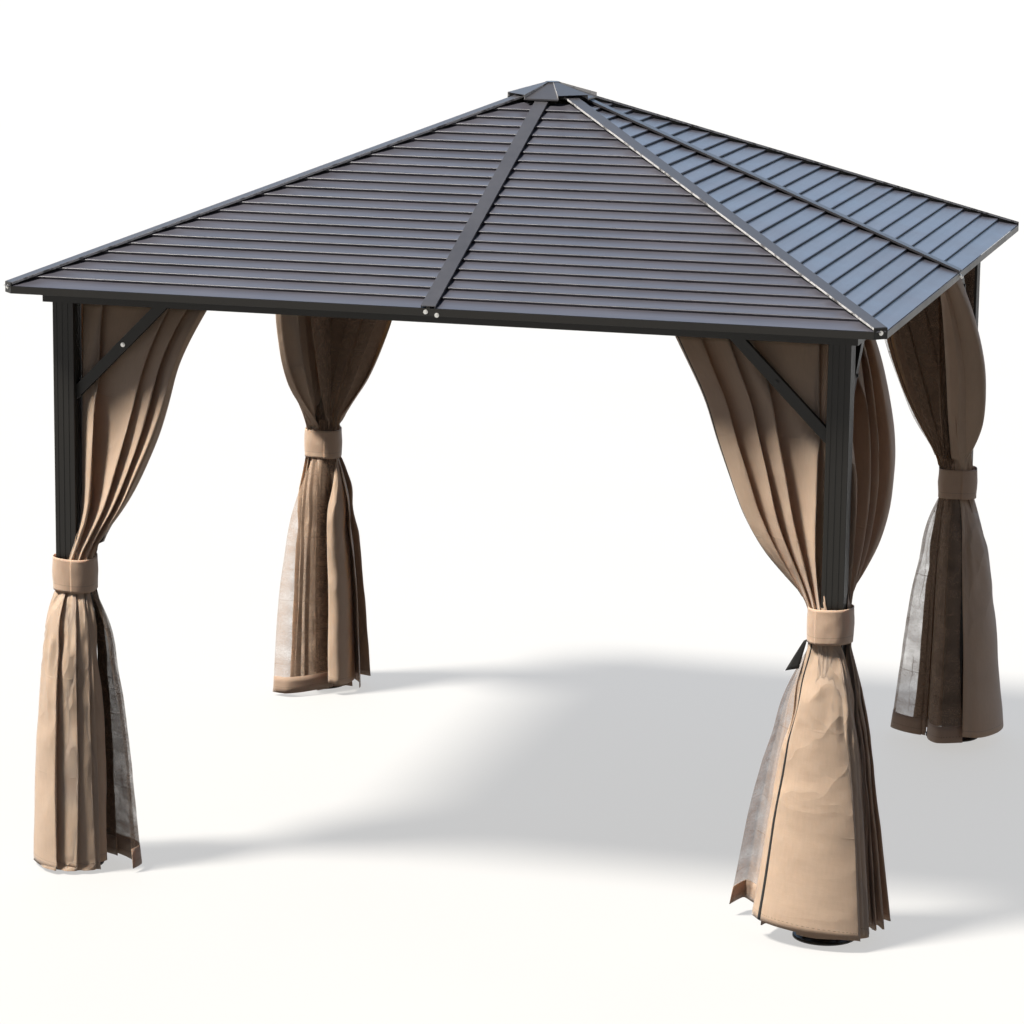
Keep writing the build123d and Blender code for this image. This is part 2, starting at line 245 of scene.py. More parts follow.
def nodes_named(*starts):
    """The frame's nodes whose names begin with one of the given words."""
    return [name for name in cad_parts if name.startswith(starts)]


def geometry_tree(name, inputs):
    """A Geometry Nodes tree with named inputs, its wiring and the sockets of its inputs."""
    tree = bpy.data.node_groups.new(name, "GeometryNodeTree")
    for label, kind in {"Geometry": "Geometry", **inputs, "Material": "Material"}.items():
        tree.interface.new_socket(label, in_out="INPUT", socket_type=f"NodeSocket{kind}")
    tree.interface.new_socket("Geometry", in_out="OUTPUT", socket_type="NodeSocketGeometry")
    wires = Wiring(tree)
    return tree, wires, wires.node("NodeGroupInput").outputs


def close_tree(wires, geometry, material):
    """End a tree: realize its instances and give them their material."""
    real = wires.shape("RealizeInstances", {0: geometry})
    painted = wires.shape("SetMaterial", {"Geometry": real, "Material": material})
    wires.node("NodeGroupOutput", {0: painted})


def run_tree(piece, tree, values):
    """Run a tree on a piece with the given inputs and keep the result as a plain mesh."""
    modifier = piece.modifiers.new(tree.name, "NODES")
    modifier.node_group = tree
    sockets = {item.name: item.identifier for item in tree.interface.items_tree if item.in_out == "INPUT"}
    for label, value in values.items():
        modifier[sockets[label]] = value
    return settle(piece)


def points_object(name, points, aims):
    """Loose points, each with the direction that it faces."""
    made = mesh_object(name, points, [])
    aim = made.data.attributes.new("aim", "FLOAT_VECTOR", "POINT")
    aim.data.foreach_set("vector", np.array(aims, dtype=np.float32).ravel())
    return made


# Settings

class GazeboMetalSettings(bpy.types.PropertyGroup):
    """Finishes and small sizes of the metal pieces."""

    frame_colour: bpy.props.FloatVectorProperty(
        name="Frame colour", description="Powder coat of posts, beams and braces",
        subtype="COLOR", size=3, min=0.0, max=1.0, default=(0.015, 0.0135, 0.0112))
    slat_colour: bpy.props.FloatVectorProperty(
        name="Slat colour", description="Coating of the roof slats",
        subtype="COLOR", size=3, min=0.0, max=1.0, default=(0.080, 0.077, 0.092))
    trim_colour: bpy.props.FloatVectorProperty(
        name="Trim colour", description="Coating of cover strips, cap and eave trim",
        subtype="COLOR", size=3, min=0.0, max=1.0, default=(0.064, 0.062, 0.068))
    slat_first: bpy.props.FloatProperty(
        name="First slat", description="Depth of the slat at the eave",
        unit="LENGTH", default=0.076, min=0.01)
    slat_pitch: bpy.props.FloatProperty(
        name="Slat pitch", description="Distance from one slat to the next up the slope",
        unit="LENGTH", default=0.0638, min=0.01)
    slat_rows: bpy.props.IntProperty(
        name="Slat rows", description="Number of slats above the eave slat", default=22, min=1)
    slat_step: bpy.props.FloatProperty(
        name="Slat step", description="Height of a slat's lower edge over the next slat",
        unit="LENGTH", default=0.0088, min=0.001)
    bolt_radius: bpy.props.FloatProperty(
        name="Bolt radius", description="Half the width of a bolt's head over its corners",
        unit="LENGTH", default=0.0056, min=0.001)


class GazeboClothSettings(bpy.types.PropertyGroup):
    """Colours and cut sizes of curtains, nets and ties."""

    curtain_colour: bpy.props.FloatVectorProperty(
        name="Curtain colour", description="Polyester of the curtains and ties",
        subtype="COLOR", size=3, min=0.0, max=1.0, default=(0.60, 0.425, 0.308))
    net_colour: bpy.props.FloatVectorProperty(
        name="Net colour", description="Thread of the insect net",
        subtype="COLOR", size=3, min=0.0, max=1.0, default=(0.55, 0.39, 0.28))
    curtain_width: bpy.props.FloatProperty(
        name="Curtain width", description="Width that a curtain was cut to",
        unit="LENGTH", default=1.15, min=0.1)
    net_width: bpy.props.FloatProperty(
        name="Net width", description="Width that a net was cut to",
        unit="LENGTH", default=0.80, min=0.1)
    drop: bpy.props.FloatProperty(
        name="Drop", description="Length of curtains and nets from rail to hem",
        unit="LENGTH", default=1.95, min=0.1)
    thickness: bpy.props.FloatProperty(
        name="Cloth thickness", description="Thickness of the curtain cloth",
        unit="LENGTH", default=0.0012, min=0.0002)
    columns: bpy.props.IntProperty(
        name="Columns", description="Columns of faces across a curtain", default=110, min=20)


class GazeboStageSettings(bpy.types.PropertyGroup):
    """Light and camera."""

    sun_strength: bpy.props.FloatProperty(
        name="Sun strength", description="Strength of the main light", default=6.4, min=0.0)
    sky_strength: bpy.props.FloatProperty(
        name="Sky strength", description="Strength of the soft light from all around", default=0.62, min=0.0)
    lens: bpy.props.FloatProperty(
        name="Lens", description="Focal length in millimetres", default=126.127, min=10.0)


# Finishes

def powder_coat(name, colour, rough, streak=0.2):
    """Powder coat on metal: fine orange peel, soft tone changes, streaks down the slope and dust low down."""
    material, wires, shader = new_material(name)
    at = wires.place("Object")
    tone = wires.grain(at, 2.4, 5.0)
    fine = wires.grain(at, 38.0, 4.0, 0.6, (1.0, 1.0, streak))
    share = wires.plus(wires.times(tone, 0.6), wires.times(fine, 0.4))
    coat = wires.blend(wires.spread(share, 0.3, 0.7), tinted(colour, 0.82), tinted(colour, 1.2))
    low = wires.spread(wires.parts(at)[2], 0.0, 0.16, 0.35, 0.0)
    dust = wires.times(low, wires.spread(fine, 0.4, 0.75))
    wires.feed(shader, {
        "Base Color": wires.blend(dust, coat, (0.24, 0.20, 0.15, 1.0)),
        "Roughness": wires.spread(share, 0.3, 0.7, rough - 0.06, rough + 0.08),
        "Normal": wires.bump(wires.grain(at, 620.0, 2.0), 0.12, 0.0006),
        "Specular IOR Level": 0.36})
    return material


def slat_coat(name, colour):
    """Coated sheet of the slats: satin, with faint long streaks along each slat and soft clouds of dust."""
    material, wires, shader = new_material(name)
    at = wires.place("UV")
    cloud = wires.grain(at, 3.0, 6.0, 0.6)
    long_streak = wires.grain(at, 22.0, 4.0, 0.55, (0.06, 1.0, 1.0))
    share = wires.plus(wires.times(cloud, 0.5), wires.times(long_streak, 0.5))
    sheet = wires.bump(wires.grain(at, 7.0, 2.0, 0.5, (0.25, 1.0, 1.0)), 0.10, 0.004)
    wires.feed(shader, {
        "Base Color": wires.blend(wires.spread(share, 0.32, 0.68), tinted(colour, 0.78), tinted(colour, 1.24)),
        "Roughness": wires.spread(cloud, 0.3, 0.7, 0.28, 0.38),
        "Normal": wires.bump(wires.grain(at, 480.0, 2.0), 0.08, 0.0006, sheet),
        "Specular IOR Level": 0.7})
    return material


def speckled(name, speck, tones, rough, peel, sharp=None, metallic=0.0):
    """Finish of small parts: specks from a dark to a light tone over a fine grain."""
    material, wires, shader = new_material(name)
    at = wires.place("Object")
    specks = wires.grain(at, *speck)
    share = wires.spread(specks, *sharp) if sharp else specks
    scale, strength, distance = peel
    wires.feed(shader, {
        "Base Color": wires.blend(share, *[(*tone, 1.0) for tone in tones]),
        "Roughness": wires.spread(specks, 0.3, 0.7, *rough) if isinstance(rough, tuple) else rough,
        "Normal": wires.bump(wires.grain(at, scale, 2.0), strength, distance),
        "Metallic": metallic})
    return material


def bright_zinc():
    """Zinc plated steel with faint turning marks and dull spots."""
    return speckled("Bright zinc", (160.0, 4.0), ((0.62, 0.61, 0.58), (0.86, 0.85, 0.82)), (0.28, 0.5),
                    (900.0, 0.1, 0.0003), metallic=0.9)


def painted_glint_edge(name):
    """Painted highlight for the glint of light along edges and seams: a pale metal colour with fine scratches
    and dark coat left on it in places.
    """
    return speckled(name, (30.0, 4.0, 0.6), ((0.12, 0.115, 0.115), (0.66, 0.65, 0.64)), (0.30, 0.46),
                    (800.0, 0.1, 0.0003), sharp=(0.36, 0.5))


def black_moulding():
    """Black moulded plastic with a fine spark grain."""
    return speckled("Black moulding", (1200.0, 2.0), ((0.012, 0.012, 0.012), (0.03, 0.03, 0.031)), (0.42, 0.6),
                    (1200.0, 0.15, 0.0003))


def black_tape(name):
    """Black woven tape of zips and hook strips."""
    return speckled(name, (700.0, 2.0), ((0.008, 0.008, 0.008), (0.026, 0.025, 0.024)), 0.8,
                    (700.0, 0.4, 0.0006))


def curtain_cloth(name, colour):
    """Plain weave polyester: fine weave, slubs, packing creases across the drop and a stitched hem line."""
    material, wires, shader = new_material(name)
    at = wires.place("UV")
    across, up, _ = wires.parts(at)
    cloud = wires.grain(at, 5.0, 5.0, 0.55)
    slub = wires.grain(at, 240.0, 3.0, 0.6, (1.0, 0.08, 1.0))
    share = wires.plus(wires.times(cloud, 0.65), wires.times(slub, 0.35))
    tone = wires.blend(wires.spread(share, 0.3, 0.7), tinted(colour, 0.90), tinted(colour, 1.09))
    stitch_row = wires.spread(wires.apart(up, 0.024), 0.0006, 0.0014, 1.0, 0.0)
    stitched = wires.times(stitch_row, wires.spread(wires.wave(across, 1250.0), -0.2, 0.2))
    weave = wires.times(wires.wave(across, 4200.0), wires.wave(up, 4200.0))
    fold_at = wires.math("PINGPONG", wires.plus(up, wires.times(cloud, 0.012)), 0.17)
    crease = wires.spread(fold_at, 0.0, 0.004, 1.0, 0.0)
    broken = wires.times(crease, wires.spread(wires.grain(at, 9.0, 2.0), 0.42, 0.6))
    ridges = []
    for size, stretch in ((5.0, 0.55), (9.5, 0.5)):
        ridge = wires.apart(wires.grain(at, size, 2.0, 0.5, (1.0, stretch, 1.0)), 0.5)
        ridges.append(wires.spread(ridge, 0.0, 0.2, 1.0, 0.0))
    near_tie = wires.spread(wires.apart(up, 0.86), 0.06, 0.55, 1.0, 0.25)
    crush = wires.times(wires.plus(ridges[0], wires.times(ridges[1], 0.5)), near_tie)
    normal = None
    for height, strength, distance in ((weave, 0.05, 0.0002), (broken, 0.35, 0.0016), (stitched, 0.4, 0.0008),
                                       (wires.grain(at, 26.0, 3.0, 0.55), 0.16, 0.006), (crush, 0.60, 0.020)):
        normal = wires.bump(height, strength, distance, normal)
    wires.feed(shader, {
        "Base Color": wires.blend(stitched, tone, tinted(colour, 0.5)), "Normal": normal, "Roughness": 0.72,
        "Subsurface Weight": 0.4, "Subsurface Radius": (1.0, 0.75, 0.55), "Subsurface Scale": 0.006,
        "Sheen Weight": 0.25, "Sheen Roughness": 0.45, "Specular IOR Level": 0.35})
    return material


def net_mesh(name, colour):
    """Sheer insect net: fine open threads, grain, and packing creases that read as closer cloth, with painted
    shade darkening the crease lines.
    """
    material, wires, shader = new_material(name)
    at = wires.place("UV")
    across, up, _ = wires.parts(at)
    cloud = wires.grain(at, 14.0, 4.0, 0.6)
    speck = wires.grain(at, 330.0, 2.0, 0.6)
    thread = wires.math("MAXIMUM", *[wires.spread(wires.wave(way, 3600.0), 0.2, 0.5) for way in (across, up)])
    sway = wires.times(cloud, 0.02)
    lines = [wires.spread(wires.math("PINGPONG", wires.plus(way, sway), gap), 0.0, wide, 1.0, 0.0)
             for way, gap, wide in ((up, 0.065, 0.0025), (across, 0.09, 0.002))]
    crease = wires.times(wires.math("MAXIMUM", *lines), wires.spread(wires.grain(at, 8.0, 2.0), 0.45, 0.62))
    closeness = wires.spread(wires.plus(cloud, wires.times(speck, 0.5)), 0.5, 1.0, 0.06, 0.42)
    cover = wires.plus(wires.times(thread, 0.14), closeness)
    tone = wires.blend(speck, tinted(colour, 0.8), tinted(colour, 1.2))
    wires.feed(shader, {
        "Alpha": wires.math("ADD", cover, wires.times(crease, 0.3), True),
        # Along the crease lines the thread colour is darkened: this is painted shade in the creases, while the
        # added cover in the alpha is closer cloth.
        "Base Color": wires.blend(wires.times(crease, 0.5), tone, tinted(colour, 0.5)),
        "Normal": wires.bump(crease, 0.3, 0.001), "Roughness": 0.75, "Specular IOR Level": 0.2})
    return material


# Roof slats

def slat_strip(name, depth, lip, material):
    """One slat of unit length as a closed thin strip with its front edge rolled down."""
    skin = 0.0008
    tuck = depth + 0.010
    outer = [(0.007, -lip * 0.86), (0.0008, -lip * 0.86), (0.0, -lip * 0.78), (0.0, -0.0022), (0.0004, -0.0009),
             (0.0014, -0.0002), (0.0032, 0.0), (depth * 0.5, -lip * 0.5 - 0.0006), (tuck, -lip / depth * tuck)]
    inner = [(y + (skin if i < 4 else 0.0), z - (0.0 if 0 < i < 3 else skin)) for i, (y, z) in enumerate(outer)]
    ring = outer + inner[::-1]
    count = len(ring)
    verts = [(x, y, z) for x in (0.0, 1.0) for y, z in ring]
    faces = [(i, (i + 1) % count, count + (i + 1) % count, count + i) for i in range(count)]
    faces += [tuple(range(count))[::-1], tuple(range(count, 2 * count))]
    return mesh_object(name, verts, faces, material)


def flatten_eave_slat(strip, depth):
    """The eave slat starts behind the eave trim, so it has no rolled edge."""
    for vert in strip.data.vertices:
        vert.co.y = max(vert.co.y, 0.0035)
        vert.co.z = max(vert.co.z, -0.0108 * vert.co.y / depth - 0.0012)


def slat_tree():
    """Lapped slats up one roof side: copies of one strip, cut to the right hip and mirrored."""
    numbers = ("Pitch", "First", "Half width", "Narrowing", "Middle gap")
    tree, wires, given = geometry_tree("Lapped slats", {"Rows": "Int", **dict.fromkeys(numbers, "Float")})
    step = wires.shade("CombineXYZ", {1: given["Pitch"]})
    start = wires.shade("CombineXYZ", {1: given["First"]})
    ends = {"Count": given["Rows"], "Start Location": start, "Offset": step}
    line = wires.shape("MeshLine", ends, mode="OFFSET")
    rows = wires.shape("InstanceOnPoints", {"Points": line, "Instance": given["Geometry"]})
    real = wires.shape("RealizeInstances", {0: rows})
    along, up, out = wires.parts(wires.shape("InputPosition"))
    reach = wires.math("SUBTRACT", given["Half width"], wires.times(up, given["Narrowing"]))
    run = wires.math("SUBTRACT", reach, given["Middle gap"])
    moved = wires.plus(given["Middle gap"], wires.times(along, run))
    spot = wires.shade("CombineXYZ", {0: moved, 1: up, 2: out})
    cut = wires.shape("SetPosition", {"Geometry": real, "Position": spot})
    other = wires.shape("Transform", {"Geometry": cut, "Scale": (-1.0, 1.0, 1.0)})
    close_tree(wires, wires.both(cut, wires.shape("FlipFaces", {0: other})), given["Material"])
    return tree


def lay_flat_uv(piece):
    """A map in metres from a piece's own x and y, before it is put in place."""
    layer = piece.data.uv_layers.new(name="Flat")
    corners = np.zeros(len(piece.data.loops), dtype=np.int32)
    piece.data.loops.foreach_get("vertex_index", corners)
    spots = np.zeros(len(piece.data.vertices) * 3, dtype=np.float32)
    piece.data.vertices.foreach_get("co", spots)
    layer.data.foreach_set("uv", spots.reshape(-1, 3)[corners, :2].ravel())


class GAZEBO_OT_lay_slats(bpy.types.Operator):
    """Lay the lapped slats of the four roof sides"""

    bl_idname = "gazebo.lay_slats"
    bl_label = "Lay roof slats"

    def execute(self, context):
        metal = context.scene.gazebo_metal
        material = slat_coat("Slat coat", metal.slat_colour)
        tree = slat_tree()
        shared = {"Pitch": metal.slat_pitch, "Half width": EAVE_HALF - 0.012, "Narrowing": math.cos(PITCH),
                  "Middle gap": 0.008, "Material": material}
        for side, turn in SIDES.items():
            low = slat_strip("eave_slat", metal.slat_first, metal.slat_step, material)
            flatten_eave_slat(low, metal.slat_first)
            run_tree(low, tree, {**shared, "Rows": 1, "First": 0.0})
            high = slat_strip("slats", metal.slat_pitch, metal.slat_step, material)
            run_tree(high, tree, {**shared, "Rows": metal.slat_rows, "First": metal.slat_first})
            roof = joined(f"roof_slats_{side}", [low, high])
            lay_flat_uv(roof)
            slope = Matrix.Translation((0, -EAVE_HALF, EAVE_HEIGHT)) @ Matrix.Rotation(PITCH, 4, "X")
            roof.data.transform(Matrix.Rotation(math.radians(turn), 4, "Z") @ slope)
            roof.data.update()
            hand_over(roof, [f"roof_panel_{side}"])
        return {"FINISHED"}


# Metal pieces that keep the frame's shapes

def bevelled_copy(name, nodes, width, material):
    """A copy of nodes with merged corners and softened edges."""
    shape = bmesh.new()
    for node in nodes:
        shape.from_mesh(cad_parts[node].data)
    bmesh.ops.remove_doubles(shape, verts=shape.verts, dist=1e-5)
    bmesh.ops.dissolve_limit(shape, angle_limit=math.radians(1), verts=shape.verts, edges=shape.edges)
    sharp = [edge for edge in shape.edges if edge.is_manifold and edge.calc_face_angle(0) > math.radians(25)]
    bmesh.ops.bevel(
        shape, geom=sharp, offset=width, segments=2, profile=0.5, affect="EDGES", clamp_overlap=True)
    return shape_object(name, shape, [material])


class GAZEBO_OT_coat_frame(bpy.types.Operator):
    """Coat the posts, beams, braces, rafters and rails"""

    bl_idname = "gazebo.coat_frame"
    bl_label = "Coat the frame"

    def execute(self, context):
        coat = powder_coat("Frame coat", context.scene.gazebo_metal.frame_colour, 0.46)
        for name in nodes_named("post", "base_plate", "beam", "corner_braces", "mid_rafter", "hip_rafter",
                                "curtain_rails", "crown_hub"):
            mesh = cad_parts[name].data
            mesh.materials.clear()
            mesh.materials.append(coat)
        return {"FINISHED"}


class GAZEBO_OT_fit_trims(bpy.types.Operator):
    """Fit the cover strips and the eave trims with folded edges"""

    bl_idname = "gazebo.fit_trims"
    bl_label = "Fit covers and trims"

    def execute(self, context):
        metal = context.scene.gazebo_metal
        coat = powder_coat("Trim coat", metal.trim_colour, 0.38)
        edge_coat = powder_coat("Eave coat", metal.frame_colour, 0.42)
        covers = bevelled_copy("cover_strips", ["rafter_covers"], 0.0008, coat)
        # The steep side faces of the hip covers get a pale painted highlight, which stands for the glint of
        # light along their edges.
        covers.data.materials.append(painted_glint_edge("Cover edge painted glint"))
        for face in covers.data.polygons:
            x, y, _ = face.center
            over_hip = abs(abs(x) - abs(y)) < 0.06 and math.hypot(x, y) > 0.2
            along = (x * face.normal.x + y * face.normal.y) / math.hypot(x, y)
            if over_hip and abs(face.normal.z) < 0.45 and abs(along) < 0.6:
                face.material_index = 1
        hand_over(covers, ["rafter_covers"])
        trims = nodes_named("eave_trim")
        edges = bevelled_copy("eave_angles", trims, 0.0006, edge_coat)
        hand_over(edges, trims)
        return {"FINISHED"}


class GAZEBO_OT_fold_cap(bpy.types.Operator):
    """Fold the vented cap: four low facets and four raised ones, joined by folded seams"""

    bl_idname = "gazebo.fold_cap"
    bl_label = "Fold the cap"

    def execute(self, context):
        coat = powder_coat("Cap coat", context.scene.gazebo_metal.trim_colour, 0.36)
        low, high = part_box("roof_cap")
        rim, top = high[0], 0.022
        verts, faces, seams = [], [], []

        def corner(apothem, index, height):
            turn = math.radians(45 * index + 22.5)
            reach = apothem / math.cos(math.radians(22.5))
            verts.append((reach * math.cos(turn), reach * math.sin(turn), height))
            return len(verts) - 1

        for facet in range(8):
            raised = facet % 2 == 1
            foot, rise, drop = (0.019, 0.004, 0.016) if raised else (0.006, 0.0, 0.006)
            foot += low[2]
            head = high[2] - 0.0055 + rise
            near_left, near_right = corner(rim, facet - 1, foot), corner(rim, facet, foot)
            far_right, far_left = corner(top, facet, head), corner(top, facet - 1, head)
            faces.append((near_left, near_right, far_right, far_left))
            drop_left, drop_right = corner(rim, facet - 1, foot - drop), corner(rim, facet, foot - drop)
            if raised:
                low_left, low_right = (corner(top, index, head - rise - 0.002) for index in (facet - 1, facet))
                seams += [len(faces), len(faces) + 1]
                faces.append((near_left, far_left, low_left, drop_left))
                faces.append((near_right, drop_right, low_right, far_right))
            else:
                faces.append((near_left, drop_left, drop_right, near_right))
        plate, under = ([corner(top + 0.002, index, high[2] - down) for index in range(8)]
                        for down in (0.0005, 0.005))
        faces.append(tuple(plate))
        for index in range(8):
            faces.append((plate[index], under[index], under[(index + 1) % 8], plate[(index + 1) % 8]))
        cap = mesh_object("cap_shell", verts, faces, coat)
        # The seam faces get a pale painted highlight, which stands for the glint of light along the folded
        # seams.
        cap.data.materials.append(painted_glint_edge("Cap seam painted glint"))
        for index in seams:
            cap.data.polygons[index].material_index = 1
        thickened(cap, 0.0016, -1.0)
        fold = cap.modifiers.new("Fold", "BEVEL")
        fold.width = 0.0007
        fold.segments = 2
        settle(cap)
        hand_over(cap, ["roof_cap"])
        return {"FINISHED"}


# Fasteners and gliders

def bolt_tree():
    """Hexagon bolt heads on washers, one at each point, facing along its aim."""
    tree, wires, given = geometry_tree("Bolt heads", {"Radius": "Float", "Height": "Float"})
    radius, height = given["Radius"], given["Height"]
    head = wires.shape("MeshCylinder", {"Vertices": 6, "Radius": radius, "Depth": height})
    lift = wires.shade("CombineXYZ", {2: wires.times(height, 0.75)})
    raised = wires.shape("Transform", {"Geometry": head, "Translation": lift})
    washer = wires.shape("MeshCylinder", {
        "Vertices": 20, "Radius": wires.times(radius, 1.4), "Depth": wires.times(height, 0.5)})
    aim = wires.shape("InputNamedAttribute", {"Name": "aim"}, data_type="FLOAT_VECTOR")
    turn = wires.node("FunctionNodeAlignRotationToVector", {"Vector": aim}, axis="Z").outputs[0]
    heads = wires.shape("InstanceOnPoints", {
        "Points": given["Geometry"], "Instance": wires.both(raised, washer), "Rotation": turn})
    close_tree(wires, heads, given["Material"])
    return tree


def turned(point, turn):
    """A point turned about the middle of the gazebo."""
    return Matrix.Rotation(math.radians(turn), 3, "Z") @ Vector(point)


class GAZEBO_OT_drive_fasteners(bpy.types.Operator):
    """Set the bolts of braces, beams, eave corners and feet"""

    bl_idname = "gazebo.drive_fasteners"
    bl_label = "Drive fasteners"

    def execute(self, context):
        metal = context.scene.gazebo_metal
        tree = bolt_tree()
        front, aside, up = (0, -1, 0), (1, 0, 0), (0, 0, 1)
        end = math.sqrt(0.5) * (EAVE_HALF * math.sqrt(2) - 0.024)
        reach, brace_face = 0.17, 0.0135
        beam_face, beam_row = EAVE_HALF - 0.104, BEAM_BOTTOM + 0.030
        anchor = 0.08 * math.sqrt(0.5)
        bright, dark = [], []
        for turn in CORNERS.values():
            bright.append(((end, -end, EAVE_HEIGHT - 0.004), (1, -1, 0), turn))
            dark.append(((POST_AT - POST_HALF - reach, -POST_AT - brace_face, BRACE_FOOT + reach), front, turn))
            (bright if turn == CORNERS["front_left"] else dark).append(
                ((POST_AT + brace_face, POST_HALF + reach - POST_AT, BRACE_FOOT + reach), aside, turn))
            for shift in (-0.018, 0.018):
                dark.append(((POST_AT + shift, -beam_face, beam_row), front, turn))
                dark.append(((beam_face, -POST_AT + shift, beam_row), aside, turn))
            dark += [((POST_AT + x, -POST_AT + y, 0.0095), up, turn)
                     for x in (-anchor, anchor) for y in (-anchor, anchor)]
        for turn in SIDES.values():
            bright += [((x, -EAVE_HALF - 0.001, EAVE_HEIGHT - down), front, turn)
                       for x, down in ((-0.008, 0.011), (0.030, 0.020))]
        bolt_coat = powder_coat("Bolt coat", (0.02, 0.019, 0.018), 0.4, 1.0)
        for name, spots, material in (("bright_bolts", bright, bright_zinc()), ("dark_bolts", dark, bolt_coat)):
            points = [turned(spot, turn) for spot, aim, turn in spots]
            aims = [turned(aim, turn) for spot, aim, turn in spots]
            bolts = points_object(name, points, aims)
            run_tree(bolts, tree, {"Radius": metal.bolt_radius, "Height": 0.004, "Material": material})
            hand_over(bolts)
        return {"FINISHED"}


def glider_tree():
    """Rail gliders: a small wheel body over a hanging eye at each point."""
    tree, wires, given = geometry_tree("Rail gliders", {"Size": "Float"})
    size = given["Size"]
    block = wires.shade("CombineXYZ", {0: size, 1: wires.times(size, 0.7), 2: wires.times(size, 1.4)})
    body = wires.shape("MeshCube", {"Size": block})
    down = wires.shade("CombineXYZ", {2: wires.times(size, -1.1)})
    eye = wires.shape("MeshCylinder", {
        "Vertices": 10, "Radius": wires.times(size, 0.55), "Depth": wires.times(size, 0.35)})
    hung = wires.shape("Transform", {"Geometry": eye, "Translation": down, "Rotation": (math.pi / 2, 0.0, 0.0)})
    row = wires.shape("InstanceOnPoints", {"Points": given["Geometry"], "Instance": wires.both(body, hung)})
    close_tree(wires, row, given["Material"])
    return tree


# Hung cloth

KNOTS = 11

# Leading edges: height and reach from the post's centre along the beam
LONG_LEAD = ((1.98, 0.560), (1.89, 0.508), (1.78, 0.444), (1.65, 0.407), (1.57, 0.371), (1.44, 0.321),
             (1.36, 0.278), (1.28, 0.222), (1.18, 0.151), (1.11, 0.085))
MIDDLE_LEAD = ((1.98, 0.500), (1.90, 0.449), (1.79, 0.395), (1.695, 0.373), (1.60, 0.350), (1.507, 0.314),
               (1.387, 0.255), (1.25, 0.181), (1.11, 0.088))
SHORT_LEAD = ((1.98, 0.430), (1.80, 0.360), (1.60, 0.322), (1.404, 0.246), (1.27, 0.178), (1.16, 0.124),
              (1.11, 0.084))
NET_LEAD = ((1.98, 0.47), (1.80, 0.37), (1.55, 0.30), (1.30, 0.19), (1.11, 0.090))

# Where the panels of a drawn sheet meet, as shares of its reach: high up, at mid height and low down
BROAD_SHARES = ((0.12, 0.60, 0.75, 0.89), (0.13, 0.49, 0.67, 0.85), (0.16, 0.42, 0.62, 0.82))
EVEN_SHARES = ((0.22, 0.47, 0.72, 0.87), (0.14, 0.37, 0.56, 0.76), (0.12, 0.31, 0.50, 0.73))

# Skirts at the hem: turn about the post in degrees and reach, from the post's side to the leading edge
WIDE_SKIRT = ((-162, 0.186), (-104, 0.135), (-157, 0.202), (-92, 0.142), (-152, 0.212), (-80, 0.150),
              (-146, 0.222), (-68, 0.160), (-134, 0.238), (-37, 0.230), (-21, 0.236))
NARROW_TURNS = (-104, -71, -101, -64, -98, -57, -94, -49, -87, -31, -21)
NARROW_SKIRT = tuple((turn, reach) for turn, (_, reach) in zip(NARROW_TURNS, WIDE_SKIRT))
LEFT_SKIRT = ((-154, 0.160), (-97, 0.172), (-122, 0.147), (-64, 0.164), (-90, 0.142), (-46, 0.158),
              (-68, 0.136), (-38, 0.154), (-60, 0.131), (-30, 0.152), (-20, 0.142))
DEEP_SKIRT = ((-150, 0.165), (-92, 0.182), (-132, 0.126), (-58, 0.190), (-104, 0.126), (-20, 0.200),
              (-64, 0.130), (18, 0.205), (-24, 0.130), (52, 0.210), (64, 0.180))
BACK_SKIRT = ((-150, 0.165), (-100, 0.190), (-138, 0.126), (-66, 0.200), (-112, 0.126), (-36, 0.205),
              (-78, 0.130), (-16, 0.205), (-54, 0.130), (4, 0.210), (14, 0.180))
NET_STACK = ((58, 0.125), (30, 0.150), (58, 0.122), (28, 0.152), (56, 0.120), (28, 0.154), (54, 0.120))
NET_SKIRT = NET_STACK + ((26, 0.158), (48, 0.132), (0, 0.270), (-16, 0.268))
FOLDED_NET_SKIRT = NET_STACK + ((-1, 0.250), (40, 0.150), (0, 0.275), (-16, 0.272))
TUCKED_NET_SKIRT = ((60, 0.090), (24, 0.130), (60, 0.086), (23, 0.134), (60, 0.086), (22, 0.138),
                    (58, 0.086), (22, 0.142), (56, 0.090), (26, 0.148), (20, 0.150))

# A lap of 1 folds each panel over the next one towards the leading edge, -1 towards the post
LONG_BROAD = dict(lead=LONG_LEAD, shares=BROAD_SHARES)
SHORT_EVEN = dict(lead=SHORT_LEAD, shares=EVEN_SHARES)
LEFT_HANG = dict(lead=MIDDLE_LEAD, skirt=LEFT_SKIRT, flare=0.32, lap=1)
CURTAINS = {
    ("front_right", "A"): dict(
        LONG_BROAD, skirt=WIDE_SKIRT, reach=1.0, flare=0.74, lap=-1, hem=0.062, seed=3, zip=True),
    ("front_right", "B"): dict(
        LONG_BROAD, skirt=NARROW_SKIRT, reach=1.02, flare=0.70, lap=-1, bulge=0.11, hem=0.07, seed=11),
    ("front_left", "A"): dict(LEFT_HANG, shares=EVEN_SHARES, reach=0.88, bulge=0.02, hem=0.06, seed=5),
    ("front_left", "B"): dict(LEFT_HANG, shares=BROAD_SHARES, reach=1.0, hem=0.03, seed=8),
    ("rear_right", "A"): dict(
        LONG_BROAD, skirt=WIDE_SKIRT, reach=1.04, flare=0.62, lap=-1, bulge=0.10, hem=0.05, seed=13,
        turned_in=True, post_gap=0.078),
    ("rear_right", "B"): dict(
        SHORT_EVEN, skirt=BACK_SKIRT, reach=0.68, flare=0.55, lap=-1, hem=0.02, seed=17),
    ("rear_left", "A"): dict(
        SHORT_EVEN, skirt=DEEP_SKIRT, reach=1.02, flare=0.48, lap=1, hem=0.04, seed=19),
    ("rear_left", "B"): dict(
        LONG_BROAD, skirt=BACK_SKIRT, reach=0.70, flare=0.48, lap=1, bulge=0.05, hem=0.04, seed=23,
        post_gap=0.078),
}
